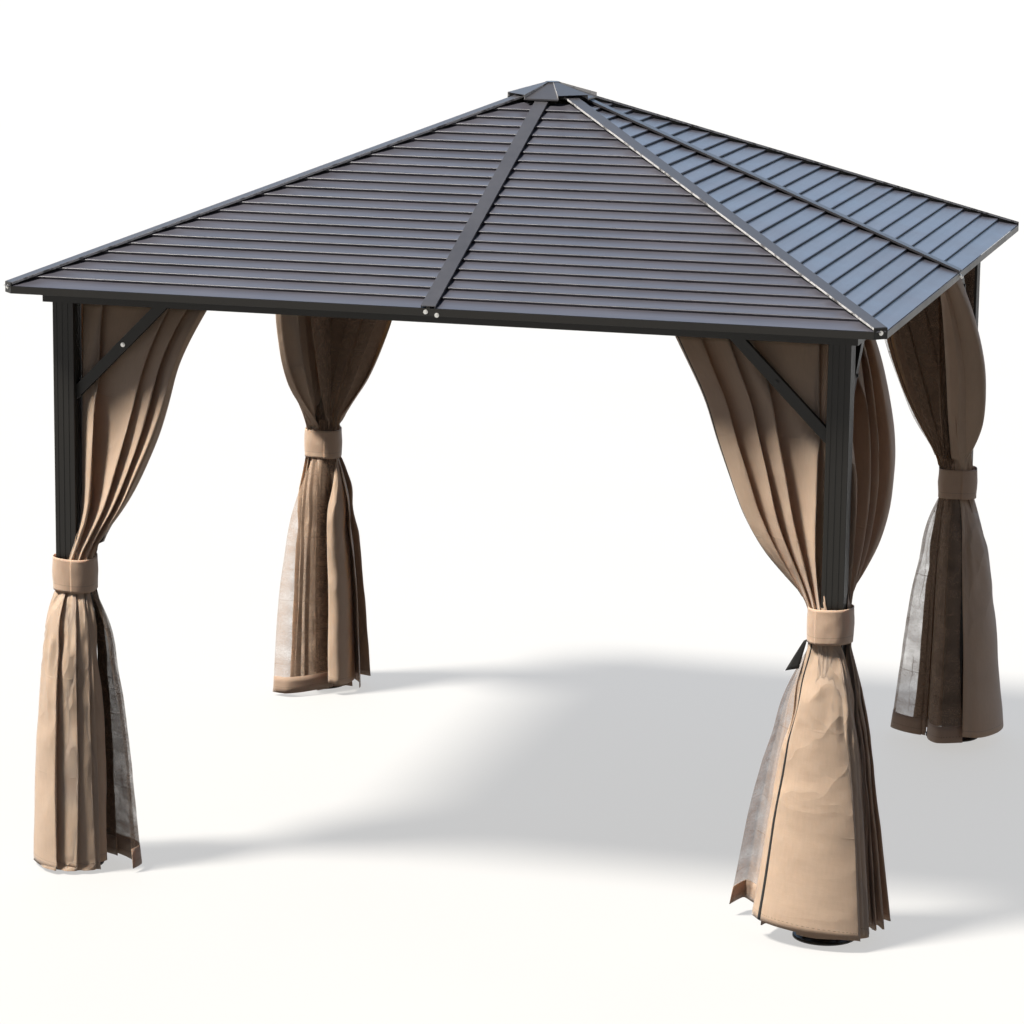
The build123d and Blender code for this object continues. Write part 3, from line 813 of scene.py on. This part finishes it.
NETS = {
    ("front_right", "A"): dict(reach=1.32, flare=0.62, seed=31, stack_turn=-50, lead_turn=27, hem=0.068),
    ("front_right", "B"): dict(reach=0.82, flare=0.62, seed=34),
    ("front_left", "A"): dict(reach=0.82, flare=0.45, seed=37, stack_turn=-28, lead_turn=-6),
    ("front_left", "B"): dict(reach=0.90, flare=0.45, seed=39, skirt=FOLDED_NET_SKIRT),
    ("rear_right", "A"): dict(reach=0.86, flare=0.55, seed=41, stack_turn=-15, lead_turn=-1),
    ("rear_right", "B"): dict(reach=0.90, flare=0.55, seed=44, start=-0.03, stack_turn=-15),
    ("rear_left", "A"): dict(reach=1.0, flare=0.48, seed=43, start=-0.03, skirt=TUCKED_NET_SKIRT),
    ("rear_left", "B"): dict(reach=1.02, flare=0.48, seed=47, stack_turn=-20, lead_turn=-20),
}
NET_HANG = dict(lead=NET_LEAD, shares=EVEN_SHARES, skirt=NET_SKIRT, lap=1)
NET_COLUMNS, NET_THICKNESS = 84, 0.0006

# Heights of the rows: from the rail to the tie, inside the tie, and from the tie to the hem
RAIL_ROW, TIE_ROWS, TIE_RUN = 1.978, (1.088, 0.972), 0.116
ROW_HEIGHTS = (RAIL_ROW, 1.90, 1.78, 1.66, 1.55, 1.42, 1.30, 1.20, 1.13, TIE_ROWS[0], 1.03, TIE_ROWS[1],
               0.94, 0.88, 0.78, 0.62, 0.40, 0.0)

# By height, above the tie: width of a tuck, and where a curtain's face and back stand beside the beam's middle
TUCKS = (1.1, 1.3, 1.55, 1.98), (0.015, 0.045, 0.065, 0.085)
FACES = (1.1, 1.3, 1.5, 1.7, 1.9, 1.98), (-0.016, -0.036, -0.034, -0.024, -0.008, 0.014)
BACKS = (1.1, 1.5, 1.98), (0.036, 0.046, 0.051)
NET_FACE, NET_BACK = 0.0575, 0.0670

# By height: how round the skirt is, the spare cloth that buckles, and how firmly a sheet keeps its folded shape
ROUNDING = (0.0, 0.85, 0.97), (0.55, 0.7, 0.0)
SPARE = (0.0, 0.6, 0.95, 0.97, 1.10, 1.3, 1.98), (0.0, 0.012, 0.022, 0.0, 0.024, 0.026, 0.006)
HOLD = (0.0, 0.3, 0.9, 1.2, 1.9), (0.05, 0.04, 0.03, 0.006, 0.02)

# The settling: steps, time of a step, weight and what is left of the speed after a step
SETTLE_STEPS, STEP_TIME, WEIGHT, KEPT_SPEED = 90, 0.012, 0.25, 0.9


def polar(turn, reach):
    """A spot around the tie's centre."""
    return TIE_CENTRE + reach * math.cos(math.radians(turn)), TIE_CENTRE + reach * math.sin(math.radians(turn))


def band_reach(across, up):
    """Reach of the tie band from its centre in a direction: a soft square."""
    size = np.maximum(np.hypot(across, up), 1e-9)
    square = (np.abs(across / size) ** 3 + np.abs(up / size) ** 3) ** (-1 / 3)
    return 0.0742 * (0.55 + 0.45 * square)


def between(first, second, share):
    """Places part of the way from one list of numbers to another."""
    return [a + (b - a) * share for a, b in zip(first, second)]


def clamped(value):
    """A value held between 0 and 1."""
    return min(1.0, max(0.0, value))


def drawn_row(shares, start, lead, tucks, lap, face, back):
    """Fold lines of a drawn sheet at one height: panels along the beam that lap over tucks behind them."""
    row = [(start, (face + back) / 2)]
    far, near = (face, back) if lap > 0 else (back, face)
    for share, tuck in zip(shares, tucks):
        middle = start + (lead - start) * share
        row += [(middle + tuck / 2, far), (middle - tuck / 2, near)]
    return row + [(start + (lead - start) * 0.965, face), (lead, (face + back) / 2)]


def round_row(turns, faces, backs, lap):
    """Fold lines around the tie's centre, standing out and in by turns."""
    row = []
    for knot, turn in enumerate(turns):
        out = (knot + (0 if lap > 0 else 1)) % 2
        row.append(polar(turn, faces[knot] if out else backs[knot]))
    return row


def sheet_knots(spec, is_net):
    """Places of a sheet's fold lines at each of the row heights."""
    heights, reaches = zip(*sorted(spec["lead"]))
    lap, seed = spec["lap"], spec["seed"]
    pick = random.Random(seed)
    sizes = [pick.uniform(0.7, 1.3) for _ in range(4)]
    shifts = [pick.uniform(-0.03, 0.03) for _ in range(4)]
    extra = [spec.get("stack_turn", 0)] * (KNOTS - 2) + [spec.get("lead_turn", 0)] * 2
    skirt = [(turn + more + pick.uniform(-3, 3), reach * spec["reach"] * pick.uniform(0.97, 1.03))
             for (turn, reach), more in zip(spec["skirt"], extra)]
    hem_turns, hem_reaches = zip(*skirt)
    first, last, least, most = (42, -8, -18, 60) if is_net else (-100, 15, -142, 22)
    if "start" in spec:
        first = 78
    upper_turns = [first + (last - first) * knot / (KNOTS - 1) for knot in range(KNOTS)]
    lower_turns = [min(most, max(least, turn)) for turn in hem_turns]
    faces, backs = [0.0700] * KNOTS, [0.0615 if is_net else 0.0570] * KNOTS
    start = spec.get("start", 0.078 if is_net else spec.get("post_gap", 0.047))
    rows = []
    for height in ROW_HEIGHTS:
        lead = float(np.interp(height, heights, reaches))
        if height > 1.1:
            high, mid, low = spec["shares"]
            shares = between(high, mid, min(1.0, (RAIL_ROW - height) / 0.42))
            shares = between(shares, low, clamped((1.53 - height) / 0.4))
            shares = [share + shift for share, shift in zip(shares, shifts)]
            tuck, face, back = (float(np.interp(height, *table)) for table in (TUCKS, FACES, BACKS))
            if is_net:
                face, back = NET_FACE, NET_BACK
            row = drawn_row(shares, start, lead, [tuck * size for size in sizes], lap, face, back)
            if spec.get("turned_in"):
                row[-2:] = [(lead, face), (lead - 0.05, back)]
            gather = max(0.0, (1.28 - height) / 0.18) ** 1.5
            gathered = round_row(upper_turns, faces, backs, lap)
            row = [between(spot, end, gather) for spot, end in zip(row, gathered)]
        elif height > 0.97:
            turns = between(upper_turns, lower_turns, (TIE_ROWS[0] - height) / TIE_RUN)
            row = round_row(turns, faces, backs, lap)
        else:
            fall = (TIE_ROWS[1] - height) / TIE_ROWS[1]
            turns = [turn + 7 * fall * noise.noise(Vector((knot * 5.1, height * 3.0, seed + 0.5)))
                     for knot, turn in enumerate(between(lower_turns, hem_turns, min(1.0, fall * 5)))]
            flare = fall ** spec["flare"]
            row = round_row(turns, between(faces, hem_reaches, flare), between(backs, hem_reaches, flare), lap)
        sway = math.sin(math.pi * clamped((1.98 - height) / 0.9)) if height > 1.08 else 0.0
        wander = [0.012 * noise.noise(Vector((knot * 3.7, height * 2.5, seed))) for knot in range(KNOTS)]
        bulges = [spec.get("bulge", 0.0) * sway * knot / (KNOTS - 1) for knot in range(KNOTS)]
        if spec.get("turned_in"):
            bulges[-1] *= 0.2
        rows.append([(a + wander[knot] * sway, b - bulges[knot]) for knot, (a, b) in enumerate(row)])
    return np.array(rows)


def soft_line(cross, marks, lines):
    """Soft curves through fold lines, sampled across the sheet."""
    slopes = np.zeros_like(lines)
    slopes[:, 1:-1] = 0.62 * (lines[:, 2:] - lines[:, :-2]) / (marks[2:] - marks[:-2])
    slopes[:, 0] = (lines[:, 1] - lines[:, 0]) / (marks[1] - marks[0])
    slopes[:, -1] = (lines[:, -1] - lines[:, -2]) / (marks[-1] - marks[-2])
    left = np.clip(np.searchsorted(marks, cross, side="right") - 1, 0, len(marks) - 2)
    wide = marks[left + 1] - marks[left]
    t = (cross - marks[left]) / wide
    return (lines[:, left] * (2 * t ** 3 - 3 * t ** 2 + 1) + slopes[:, left] * wide * (t ** 3 - 2 * t ** 2 + t)
            + lines[:, left + 1] * (3 * t ** 2 - 2 * t ** 3) + slopes[:, left + 1] * wide * (t ** 3 - t ** 2))


def crumple(grid, cross, seed, wrinkle):
    """Crumples of a sheet: across its folds everywhere, and in and out below the tie."""
    along = np.gradient(grid[:, :, :2], axis=1)
    along /= np.maximum(np.linalg.norm(along, axis=2, keepdims=True), 1e-9)
    across = np.stack([-along[:, :, 1], along[:, :, 0]], axis=2)
    for row, height in enumerate(grid[:, 0, 2]):
        clear = max(height - TIE_TOP, TIE_BOTTOM - height, 0.0)
        calm = 0.15 + 0.85 * min(1.0, clear / 0.12)
        near_tie = math.exp(-clear / 0.2)
        crushed = 6.5 * math.exp(-abs(height - 0.78) / 0.24) if height < TIE_BOTTOM else 0.0
        for column, spot in enumerate(cross):
            big = noise.noise(Vector((spot * 6.0, height * 2.2, seed))) * 1.2
            small = noise.noise(Vector((spot * 16.0, height * 7.0, seed + 7.3))) * 0.7
            pinch = noise.noise(Vector((spot * 24.0, height * 8.0, seed + 3.1))) * 1.2 * near_tie
            way = grid[row, column, :2] - TIE_CENTRE
            way = way / max(float(np.hypot(*way)), 1e-6)
            crush = noise.noise(Vector((way[0] * 2.6, way[1] * 2.6 + height * 2.0, height * 8.0)))
            grid[row, column, :2] += wrinkle * calm * (across[row, column] * (big + small + pinch)
                                                       + way * (0.25 - abs(crush)) * crushed)


def hung_grid(knots, columns, hem, lift, seed, wrinkle, is_net):
    """Points of a hung sheet in its corner's directions: fold lines joined into soft sections, then settled."""
    widths = np.linalg.norm(np.diff(knots, axis=1), axis=2).mean(axis=0) + 0.01
    marks = np.concatenate([[0.0], np.cumsum(widths)]) / widths.sum()
    cross = np.linspace(0.0, 1.0, columns + 1)
    heights = np.concatenate([
        np.linspace(RAIL_ROW, 1.10, 46), np.linspace(*TIE_ROWS, 7), np.linspace(0.955, hem, 42)])
    order = np.argsort(ROW_HEIGHTS)
    table = np.array(ROW_HEIGHTS)[order]
    lines = np.stack([[np.interp(heights, table, knots[order, knot, axis]) for knot in range(KNOTS)]
                      for axis in range(2)]).transpose(0, 2, 1)
    for _ in range(4):
        lines[:, 1:-1] = (lines[:, :-2] + 2 * lines[:, 1:-1] + lines[:, 2:]) / 4
    turns = np.unwrap(np.arctan2(lines[1] - TIE_CENTRE, lines[0] - TIE_CENTRE), axis=1)
    turn = soft_line(cross, marks, turns)
    reach = soft_line(cross, marks, np.hypot(lines[0] - TIE_CENTRE, lines[1] - TIE_CENTRE))
    rounding = np.interp(heights, *ROUNDING)[:, None]
    grid = np.zeros((len(heights), columns + 1, 3))
    for axis, way in enumerate((np.cos, np.sin)):
        flat = soft_line(cross, marks, lines[axis])
        grid[:, :, axis] = flat + rounding * (TIE_CENTRE + reach * way(turn) - flat)
    grid[:, :, 2] = heights[:, None]
    crumple(grid, cross, seed, wrinkle)
    rise = np.interp(cross, np.linspace(0, 1, len(lift)), lift)
    drop = np.clip((0.95 - grid[:, :, 2]) / (0.95 - hem), 0, 1)
    grid[:, :, 2] += drop * rise[None, :]
    keep_clear(grid, is_net)
    held = np.zeros(grid.shape[:2], dtype=bool)
    held[0] = True
    held[(heights < 1.09) & (heights > 0.965)] = True
    spare = np.interp(heights, *SPARE)[:, None] * np.interp(cross, (0.0, 0.7, 1.0), (1.0, 0.8, 0.1))[None, :]
    settle_cloth(grid, held, spare, is_net)
    return grid


def pull_apart(grid, free, first, second, length, give):
    """Bring pairs of points to their cloth length, softer when pressed together than when pulled."""
    way = grid[second] - grid[first]
    size = np.maximum(np.linalg.norm(way, axis=2), 1e-9)
    error = size - length
    share = np.where(error > 0, 1.0, give) * error / size
    sum_free = np.maximum(free[first] + free[second], 1e-9)
    move = way * (share / sum_free)[:, :, None]
    grid[first] += move * free[first][:, :, None]
    grid[second] -= move * free[second][:, :, None]


def settle_cloth(grid, held, spare, is_net):
    """Let a sheet settle under its own weight from its folded shape, with a little spare cloth that buckles."""
    rows, columns = held.shape
    free = (~held).astype(float)
    start = grid.copy()
    every, near, far = slice(None), slice(0, columns - 1), slice(1, columns)
    pairs = []
    for parity in (0, 1):
        upper, lower = slice(parity, rows - 1, 2), slice(parity + 1, rows, 2)
        left, right = slice(parity, columns - 1, 2), slice(parity + 1, columns, 2)
        pairs += [((upper, every), (lower, every), 1.0), ((every, left), (every, right), 0.5),
                  ((upper, near), (lower, far), 0.0), ((upper, far), (lower, near), 0.0)]
    lengths = []
    for first, second, give in pairs:
        spares = spare[first] * (0.4 if give == 0.5 else 1.0)
        lengths.append(np.linalg.norm(grid[second] - grid[first], axis=2) * (1.0 + spares))
    speed = np.zeros_like(grid)
    hold = np.interp(start[:, :, 2], *HOLD)[:, :, None]
    for _ in range(SETTLE_STEPS):
        before = grid.copy()
        speed *= KEPT_SPEED
        speed[:, :, 2] -= WEIGHT * STEP_TIME
        grid += speed * STEP_TIME * free[:, :, None]
        grid[:, :, :2] += hold * (start[:, :, :2] - grid[:, :, :2])
        for _ in range(2):
            for (first, second, give), length in zip(pairs, lengths):
                pull_apart(grid, free, first, second, length, give)
        bend = grid[:, :-2] + grid[:, 2:] - 2 * grid[:, 1:-1]
        grid[:, 1:-1] += 0.03 * bend * free[:, 1:-1, None]
        bend = grid[:-2] + grid[2:] - 2 * grid[1:-1]
        grid[1:-1] += 0.02 * bend * free[1:-1, :, None]
        keep_clear(grid, is_net)
        grid[held] = start[held]
        speed = (grid - before) / STEP_TIME


def keep_clear(grid, is_net):
    """Hold a sheet off the post, its braces and the floor, and inside its tie."""
    a, b, z = grid[:, :, 0], grid[:, :, 1], grid[:, :, 2]
    wall = 0.0395
    within = (np.abs(a) < wall) & (np.abs(b) < wall)
    by_b = within & (b < 0) & (np.abs(b) >= np.abs(a) * 0.6)
    b[by_b] = -wall
    rest = within & ~by_b
    a[rest] = np.where(a[rest] > 0, wall, -wall)
    high = z > 1.14
    if is_net:
        b[high] = np.clip(b[high], 0.0560, 0.0690)
    else:
        brace = POST_HALF + z - BRACE_FOOT
        least = np.interp(a - brace, (0.035, 0.16), (0.0148, -0.12))
        least = np.where((z > 1.60) & (a > 0.0), least, -1.0)
        b[:] = np.maximum(b, least)
        b[high] = np.minimum(b[high], 0.0535)
    z[:] = np.maximum(z, 0.014)
    banded = (z > TIE_BOTTOM - 0.004) & (z < TIE_TOP + 0.004)
    da, db = a - TIE_CENTRE, b - TIE_CENTRE
    reach = np.maximum(np.hypot(da, db), 1e-6)
    room = band_reach(da, db) - 0.0028
    scale = np.where(banded & (reach > room), room / reach, 1.0)
    a[:] = TIE_CENTRE + da * scale
    b[:] = TIE_CENTRE + db * scale


def corner_place(grid, corner, mirrored=False):
    """World points from a corner's own directions."""
    a, b = (grid[..., 1], grid[..., 0]) if mirrored else (grid[..., 0], grid[..., 1])
    turn = math.radians(CORNERS[corner])
    x, y = POST_AT - a, b - POST_AT
    return np.stack([x * math.cos(turn) - y * math.sin(turn), x * math.sin(turn) + y * math.cos(turn),
                     grid[..., 2]], axis=-1)


def grid_object(name, points, material):
    """A smooth surface through a grid of points."""
    rows, columns = points.shape[:2]
    faces = [(r * columns + c, (r + 1) * columns + c, (r + 1) * columns + c + 1, r * columns + c + 1)
             for r in range(rows - 1) for c in range(columns - 1)]
    return mesh_object(name, points.reshape(-1, 3), faces, material, True)


def sheet_object(name, points, material, thickness, size):
    """A thin closed sheet from a grid of points, with a map in metres from its hem and its post edge."""
    columns = points.shape[1]
    piece = grid_object(name, points, material)
    layer = piece.data.uv_layers.new(name="Cut")
    length = np.concatenate([[0.0], np.cumsum(np.linalg.norm(np.diff(points.mean(axis=1), axis=0), axis=1))])
    for loop in piece.data.loops:
        row, column = divmod(loop.vertex_index, columns)
        layer.data[loop.index].uv = (size * column / (columns - 1), length[-1] - length[row])
    return settle(thickened(piece, thickness, 0.0))


def edge_tape(name, points, material, side):
    """A zip tape sewn beside a curtain's leading edge, on both faces or on one."""
    tape = grid_object(name, points[:, -5:-3], material)
    return settle(thickened(tape, 0.0034 - 0.0014 * abs(side), side))


class GAZEBO_OT_hang_curtains(bpy.types.Operator):
    """Hang the two curtains of each corner, drawn in to their ties"""

    bl_idname = "gazebo.hang_curtains"
    bl_label = "Hang curtains"

    def execute(self, context):
        cloth = context.scene.gazebo_cloth
        material = curtain_cloth("Curtain cloth", cloth.curtain_colour)
        tape = black_tape("Zip tape")
        spots = []
        for (corner, half), spec in CURTAINS.items():
            pick = random.Random(spec["seed"] + 1)
            lift = [pick.uniform(-0.012, 0.022) for _ in range(12)] + [0.02, 0.03]
            grid = hung_grid(
                sheet_knots(spec, False), cloth.columns, spec["hem"], lift, spec["seed"], 0.0045, False)
            points = corner_place(grid, corner, half == "B")
            piece = sheet_object(
                f"curtain_{corner}_{half}", points, material, cloth.thickness, cloth.curtain_width)
            hand_over(piece, [f"curtain_{corner}"])
            side = 0.0 if spec.get("zip") else 1.0 if half == "A" else -1.0
            zip_tape = edge_tape(f"zip_{corner}_{half}", points, tape, side)
            hand_over(zip_tape)
            spots += [(x, y, BEAM_BOTTOM + 0.006) for x, y, _ in points[0, 4::9]]
        gliders = points_object("rail_gliders", spots, [(0, 0, 1)] * len(spots))
        run_tree(gliders, glider_tree(), {"Size": 0.008, "Material": black_moulding()})
        hand_over(gliders)
        return {"FINISHED"}


class GAZEBO_OT_hang_nets(bpy.types.Operator):
    """Hang the insect nets inside the curtains, with cloth bands along their hems"""

    bl_idname = "gazebo.hang_nets"
    bl_label = "Hang nets"

    def execute(self, context):
        cloth = context.scene.gazebo_cloth
        material = net_mesh("Insect net", cloth.net_colour)
        band = curtain_cloth("Net hem cloth", tinted(cloth.curtain_colour, 0.75)[:3])
        for (corner, half), spec in NETS.items():
            pick = random.Random(spec["seed"])
            lift = [pick.uniform(-0.010, 0.02) for _ in range(9)]
            knots = sheet_knots({**NET_HANG, **spec}, True)
            grid = hung_grid(knots, NET_COLUMNS, spec.get("hem", 0.04), lift, spec["seed"], 0.003, True)
            points = corner_place(grid, corner, half == "B")
            piece = sheet_object(f"net_{corner}_{half}", points, material, NET_THICKNESS, cloth.net_width)
            hand_over(piece, [f"net_{corner}"])
            hem = sheet_object(f"net_hem_{corner}_{half}", points[-4:], band, 0.0022, cloth.net_width)
            hand_over(hem)
        return {"FINISHED"}


# Where each tie begins and where its hook strip hangs, in degrees about the post, and how far it is pushed up
TIE_TURNS = {"front_right": (-112, -16, 0.028), "front_left": (120, 20, 0.008),
             "rear_right": (-70, -160, 0.006), "rear_left": (20, -100, 0.004)}
TIE_STEPS, TIE_LINES, TIE_WRAPS = 112, 15, 1.14


def tie_tail(corner, turn, lift, material):
    """The loose end of a tie's black hook strip, hanging away from the band."""
    rows, columns = 9, 5
    grid = np.zeros((rows, columns, 3))
    for row, column in np.ndindex(rows, columns):
        down, out = row / (rows - 1), column / (columns - 1)
        spot = math.radians(turn - 8 * down)
        ca, sa = math.cos(spot), math.sin(spot)
        wide = 0.012 + 0.034 * down
        reach = float(band_reach(ca, sa)) - 0.002 + wide * out + 0.026 * down
        grid[row, column] = (TIE_CENTRE + reach * ca, TIE_CENTRE + reach * sa,
                             TIE_BOTTOM + lift + 0.004 - 0.006 * out - 0.096 * down)
    return sheet_object(f"hook_strip_{corner}", corner_place(grid, corner), material, 0.002, 0.025)


def tie_grid(start, turn, lift):
    """Points of a tie: a band wrapped once round with a lap, a little hollow, and uneven."""
    grid = np.zeros((TIE_LINES, TIE_STEPS + 1, 3))
    for row, step in np.ndindex(TIE_LINES, TIE_STEPS + 1):
        share, along = row / (TIE_LINES - 1), step / TIE_STEPS
        angle = math.radians(start) + 2 * math.pi * TIE_WRAPS * step / TIE_STEPS
        ca, sa = math.cos(angle), math.sin(angle)
        reach = float(band_reach(ca, sa)) + 0.0010 * math.cos(math.pi * (share * 2 - 1))
        reach += 0.0014 * noise.noise(Vector((ca * 2, sa * 2, share * 3 + turn)))
        reach += 0.0034 * clamped((along - 0.80) / 0.08)
        height = TIE_TOP + lift - share * (TIE_TOP - TIE_BOTTOM) + 0.002 * math.sin(angle * 2 + turn)
        grid[row, step] = (TIE_CENTRE + reach * ca, TIE_CENTRE + reach * sa, height)
    return grid


class GAZEBO_OT_tie_bands(bpy.types.Operator):
    """Wrap the tie bands around the posts and the drawn in curtains"""

    bl_idname = "gazebo.tie_bands"
    bl_label = "Tie bands"

    def execute(self, context):
        cloth = context.scene.gazebo_cloth
        material = curtain_cloth("Tie cloth", tinted(cloth.curtain_colour, 1.06)[:3])
        hooks = black_tape("Hook strip")
        for corner, turn in CORNERS.items():
            start, hang, lift = TIE_TURNS[corner]
            points = corner_place(tie_grid(start, turn, lift), corner)
            piece = sheet_object(f"tie_{corner}", points, material, 0.0026, 0.5)
            hand_over(piece, [f"tieback_{corner}"])
            tail = tie_tail(corner, hang, lift, hooks)
            hand_over(tail)
        return {"FINISHED"}


# Stage

def lay_floor():
    """A wide pale floor that throws no light back at the part."""
    material, wires, shader = new_material("Studio floor")
    cloud = wires.grain(wires.place("Object"), 0.8, 2.0)
    wires.feed(shader, {
        "Base Color": wires.blend(cloud, (0.235, 0.232, 0.226, 1), (0.25, 0.247, 0.241, 1)),
        "Roughness": 0.9, "Emission Color": (1.0, 0.985, 0.96, 1), "Emission Strength": 0.54})
    half = 300.0
    corners = [(-half, -half, 0), (half, -half, 0), (half, half, 0), (-half, half, 0)]
    floor = mesh_object("studio_floor", corners, [(0, 1, 2, 3)], material)
    floor.visible_diffuse = False


def raise_sky(scene, strength):
    """Soft light from all around: warm low down, blue above, bright behind, and plain white where seen."""
    world = bpy.data.worlds.new("Studio sky")
    scene.world = world
    world.use_nodes = True
    nodes, wires = world.node_tree.nodes, Wiring(world.node_tree)
    way = wires.place("Generated")
    sideways, forward, height = wires.parts(way)
    sky = wires.blend(wires.spread(height, 0.05, 0.75), (0.90, 0.85, 0.78, 1), (0.30, 0.42, 0.66, 1))
    facing = wires.node("ShaderNodeVectorMath", {0: way, 1: (-0.06, 0.97, 0.22)}, operation="DOT_PRODUCT")
    sky = wires.blend(wires.spread(facing.outputs["Value"], 0.72, 0.98), sky, (1.12, 1.60, 2.25, 1))
    sky = wires.blend(wires.spread(height, -0.06, 0.02, 1.0, 0.0), sky, (0.36, 0.31, 0.26, 1))
    shade = wires.times(wires.spread(sideways, -0.5, 0.8, 1.0, 0.6), wires.spread(forward, -0.8, 0.2, 0.4, 1.0))
    wires.feed(nodes["Background"], {"Color": wires.blend(shade, (0, 0, 0, 1), sky), "Strength": strength})
    plain = wires.shade("Background", {"Color": (1, 1, 1, 1), "Strength": 1.0})
    seen = wires.node("ShaderNodeLightPath").outputs["Is Camera Ray"]
    mix = wires.shade("MixShader", {0: seen, 1: nodes["Background"].outputs[0], 2: plain})
    wires.feed(nodes["World Output"], {"Surface": mix})


class GAZEBO_OT_set_stage(bpy.types.Operator):
    """Set the floor, the light and the camera"""

    bl_idname = "gazebo.set_stage"
    bl_label = "Set the stage"

    def execute(self, context):
        stage = context.scene.gazebo_stage
        lay_floor()
        raise_sky(context.scene, stage.sky_strength)

        light = bpy.data.lights.new("Main light", "SUN")
        light.energy = stage.sun_strength
        light.angle = math.radians(12.0)
        light.color = (1.0, 0.955, 0.88)
        sun = linked("Main light", light)
        sun.rotation_euler = Vector((0.44, 0.30, -0.85)).to_track_quat("-Z", "Y").to_euler()

        lens = bpy.data.cameras.new("Camera")
        lens.lens = stage.lens
        lens.sensor_width = 36.0
        lens.clip_end = 800.0
        camera = linked("Camera", lens)
        turn, tip, roll = 0.27507, 0.20192, 0.01199
        look = Vector((-math.sin(turn) * math.cos(tip), math.cos(turn) * math.cos(tip), -math.sin(tip)))
        right = Vector((math.cos(turn), math.sin(turn), 0.0))
        up = right.cross(look)
        level = math.cos(roll) * right + math.sin(roll) * up
        upright = math.cos(roll) * up - math.sin(roll) * right
        place = Matrix((level, upright, -look)).transposed().to_4x4()
        place.translation = (3.40234, -12.52328, 3.73601)
        camera.matrix_world = place
        context.scene.camera = camera
        context.scene.view_settings.view_transform = "Standard"
        return {"FINISHED"}


OPERATORS = (GAZEBO_OT_coat_frame, GAZEBO_OT_lay_slats, GAZEBO_OT_fit_trims, GAZEBO_OT_fold_cap,
             GAZEBO_OT_drive_fasteners, GAZEBO_OT_hang_curtains, GAZEBO_OT_hang_nets, GAZEBO_OT_tie_bands,
             GAZEBO_OT_set_stage)


class GAZEBO_PT_panel(bpy.types.Panel):
    """Lists the gazebo's settings and steps"""

    bl_idname = "GAZEBO_PT_panel"
    bl_label = "Garden gazebo"
    bl_space_type = "VIEW_3D"
    bl_region_type = "UI"
    bl_category = "Gazebo"

    def draw(self, context):
        for settings in (context.scene.gazebo_metal, context.scene.gazebo_cloth, context.scene.gazebo_stage):
            box = self.layout.box()
            for key in settings.__annotations__:
                box.prop(settings, key)
        for step in OPERATORS:
            self.layout.operator(step.bl_idname)


CLASSES = (GazeboMetalSettings, GazeboClothSettings, GazeboStageSettings, *OPERATORS, GAZEBO_PT_panel)


def register():
    for each in CLASSES:
        bpy.utils.register_class(each)
    bpy.types.Scene.gazebo_metal = bpy.props.PointerProperty(type=GazeboMetalSettings)
    bpy.types.Scene.gazebo_cloth = bpy.props.PointerProperty(type=GazeboClothSettings)
    bpy.types.Scene.gazebo_stage = bpy.props.PointerProperty(type=GazeboStageSettings)


def unregister():
    for name in ("gazebo_metal", "gazebo_cloth", "gazebo_stage"):
        delattr(bpy.types.Scene, name)
    for each in reversed(CLASSES):
        bpy.utils.unregister_class(each)


def main():
    """Register the add-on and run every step."""
    register()
    bpy.ops.gazebo.coat_frame()
    bpy.ops.gazebo.lay_slats()
    bpy.ops.gazebo.fit_trims()
    bpy.ops.gazebo.fold_cap()
    bpy.ops.gazebo.drive_fasteners()
    bpy.ops.gazebo.hang_curtains()
    bpy.ops.gazebo.hang_nets()
    bpy.ops.gazebo.tie_bands()
    bpy.ops.gazebo.set_stage()


if __name__ == "__main__":
    main()
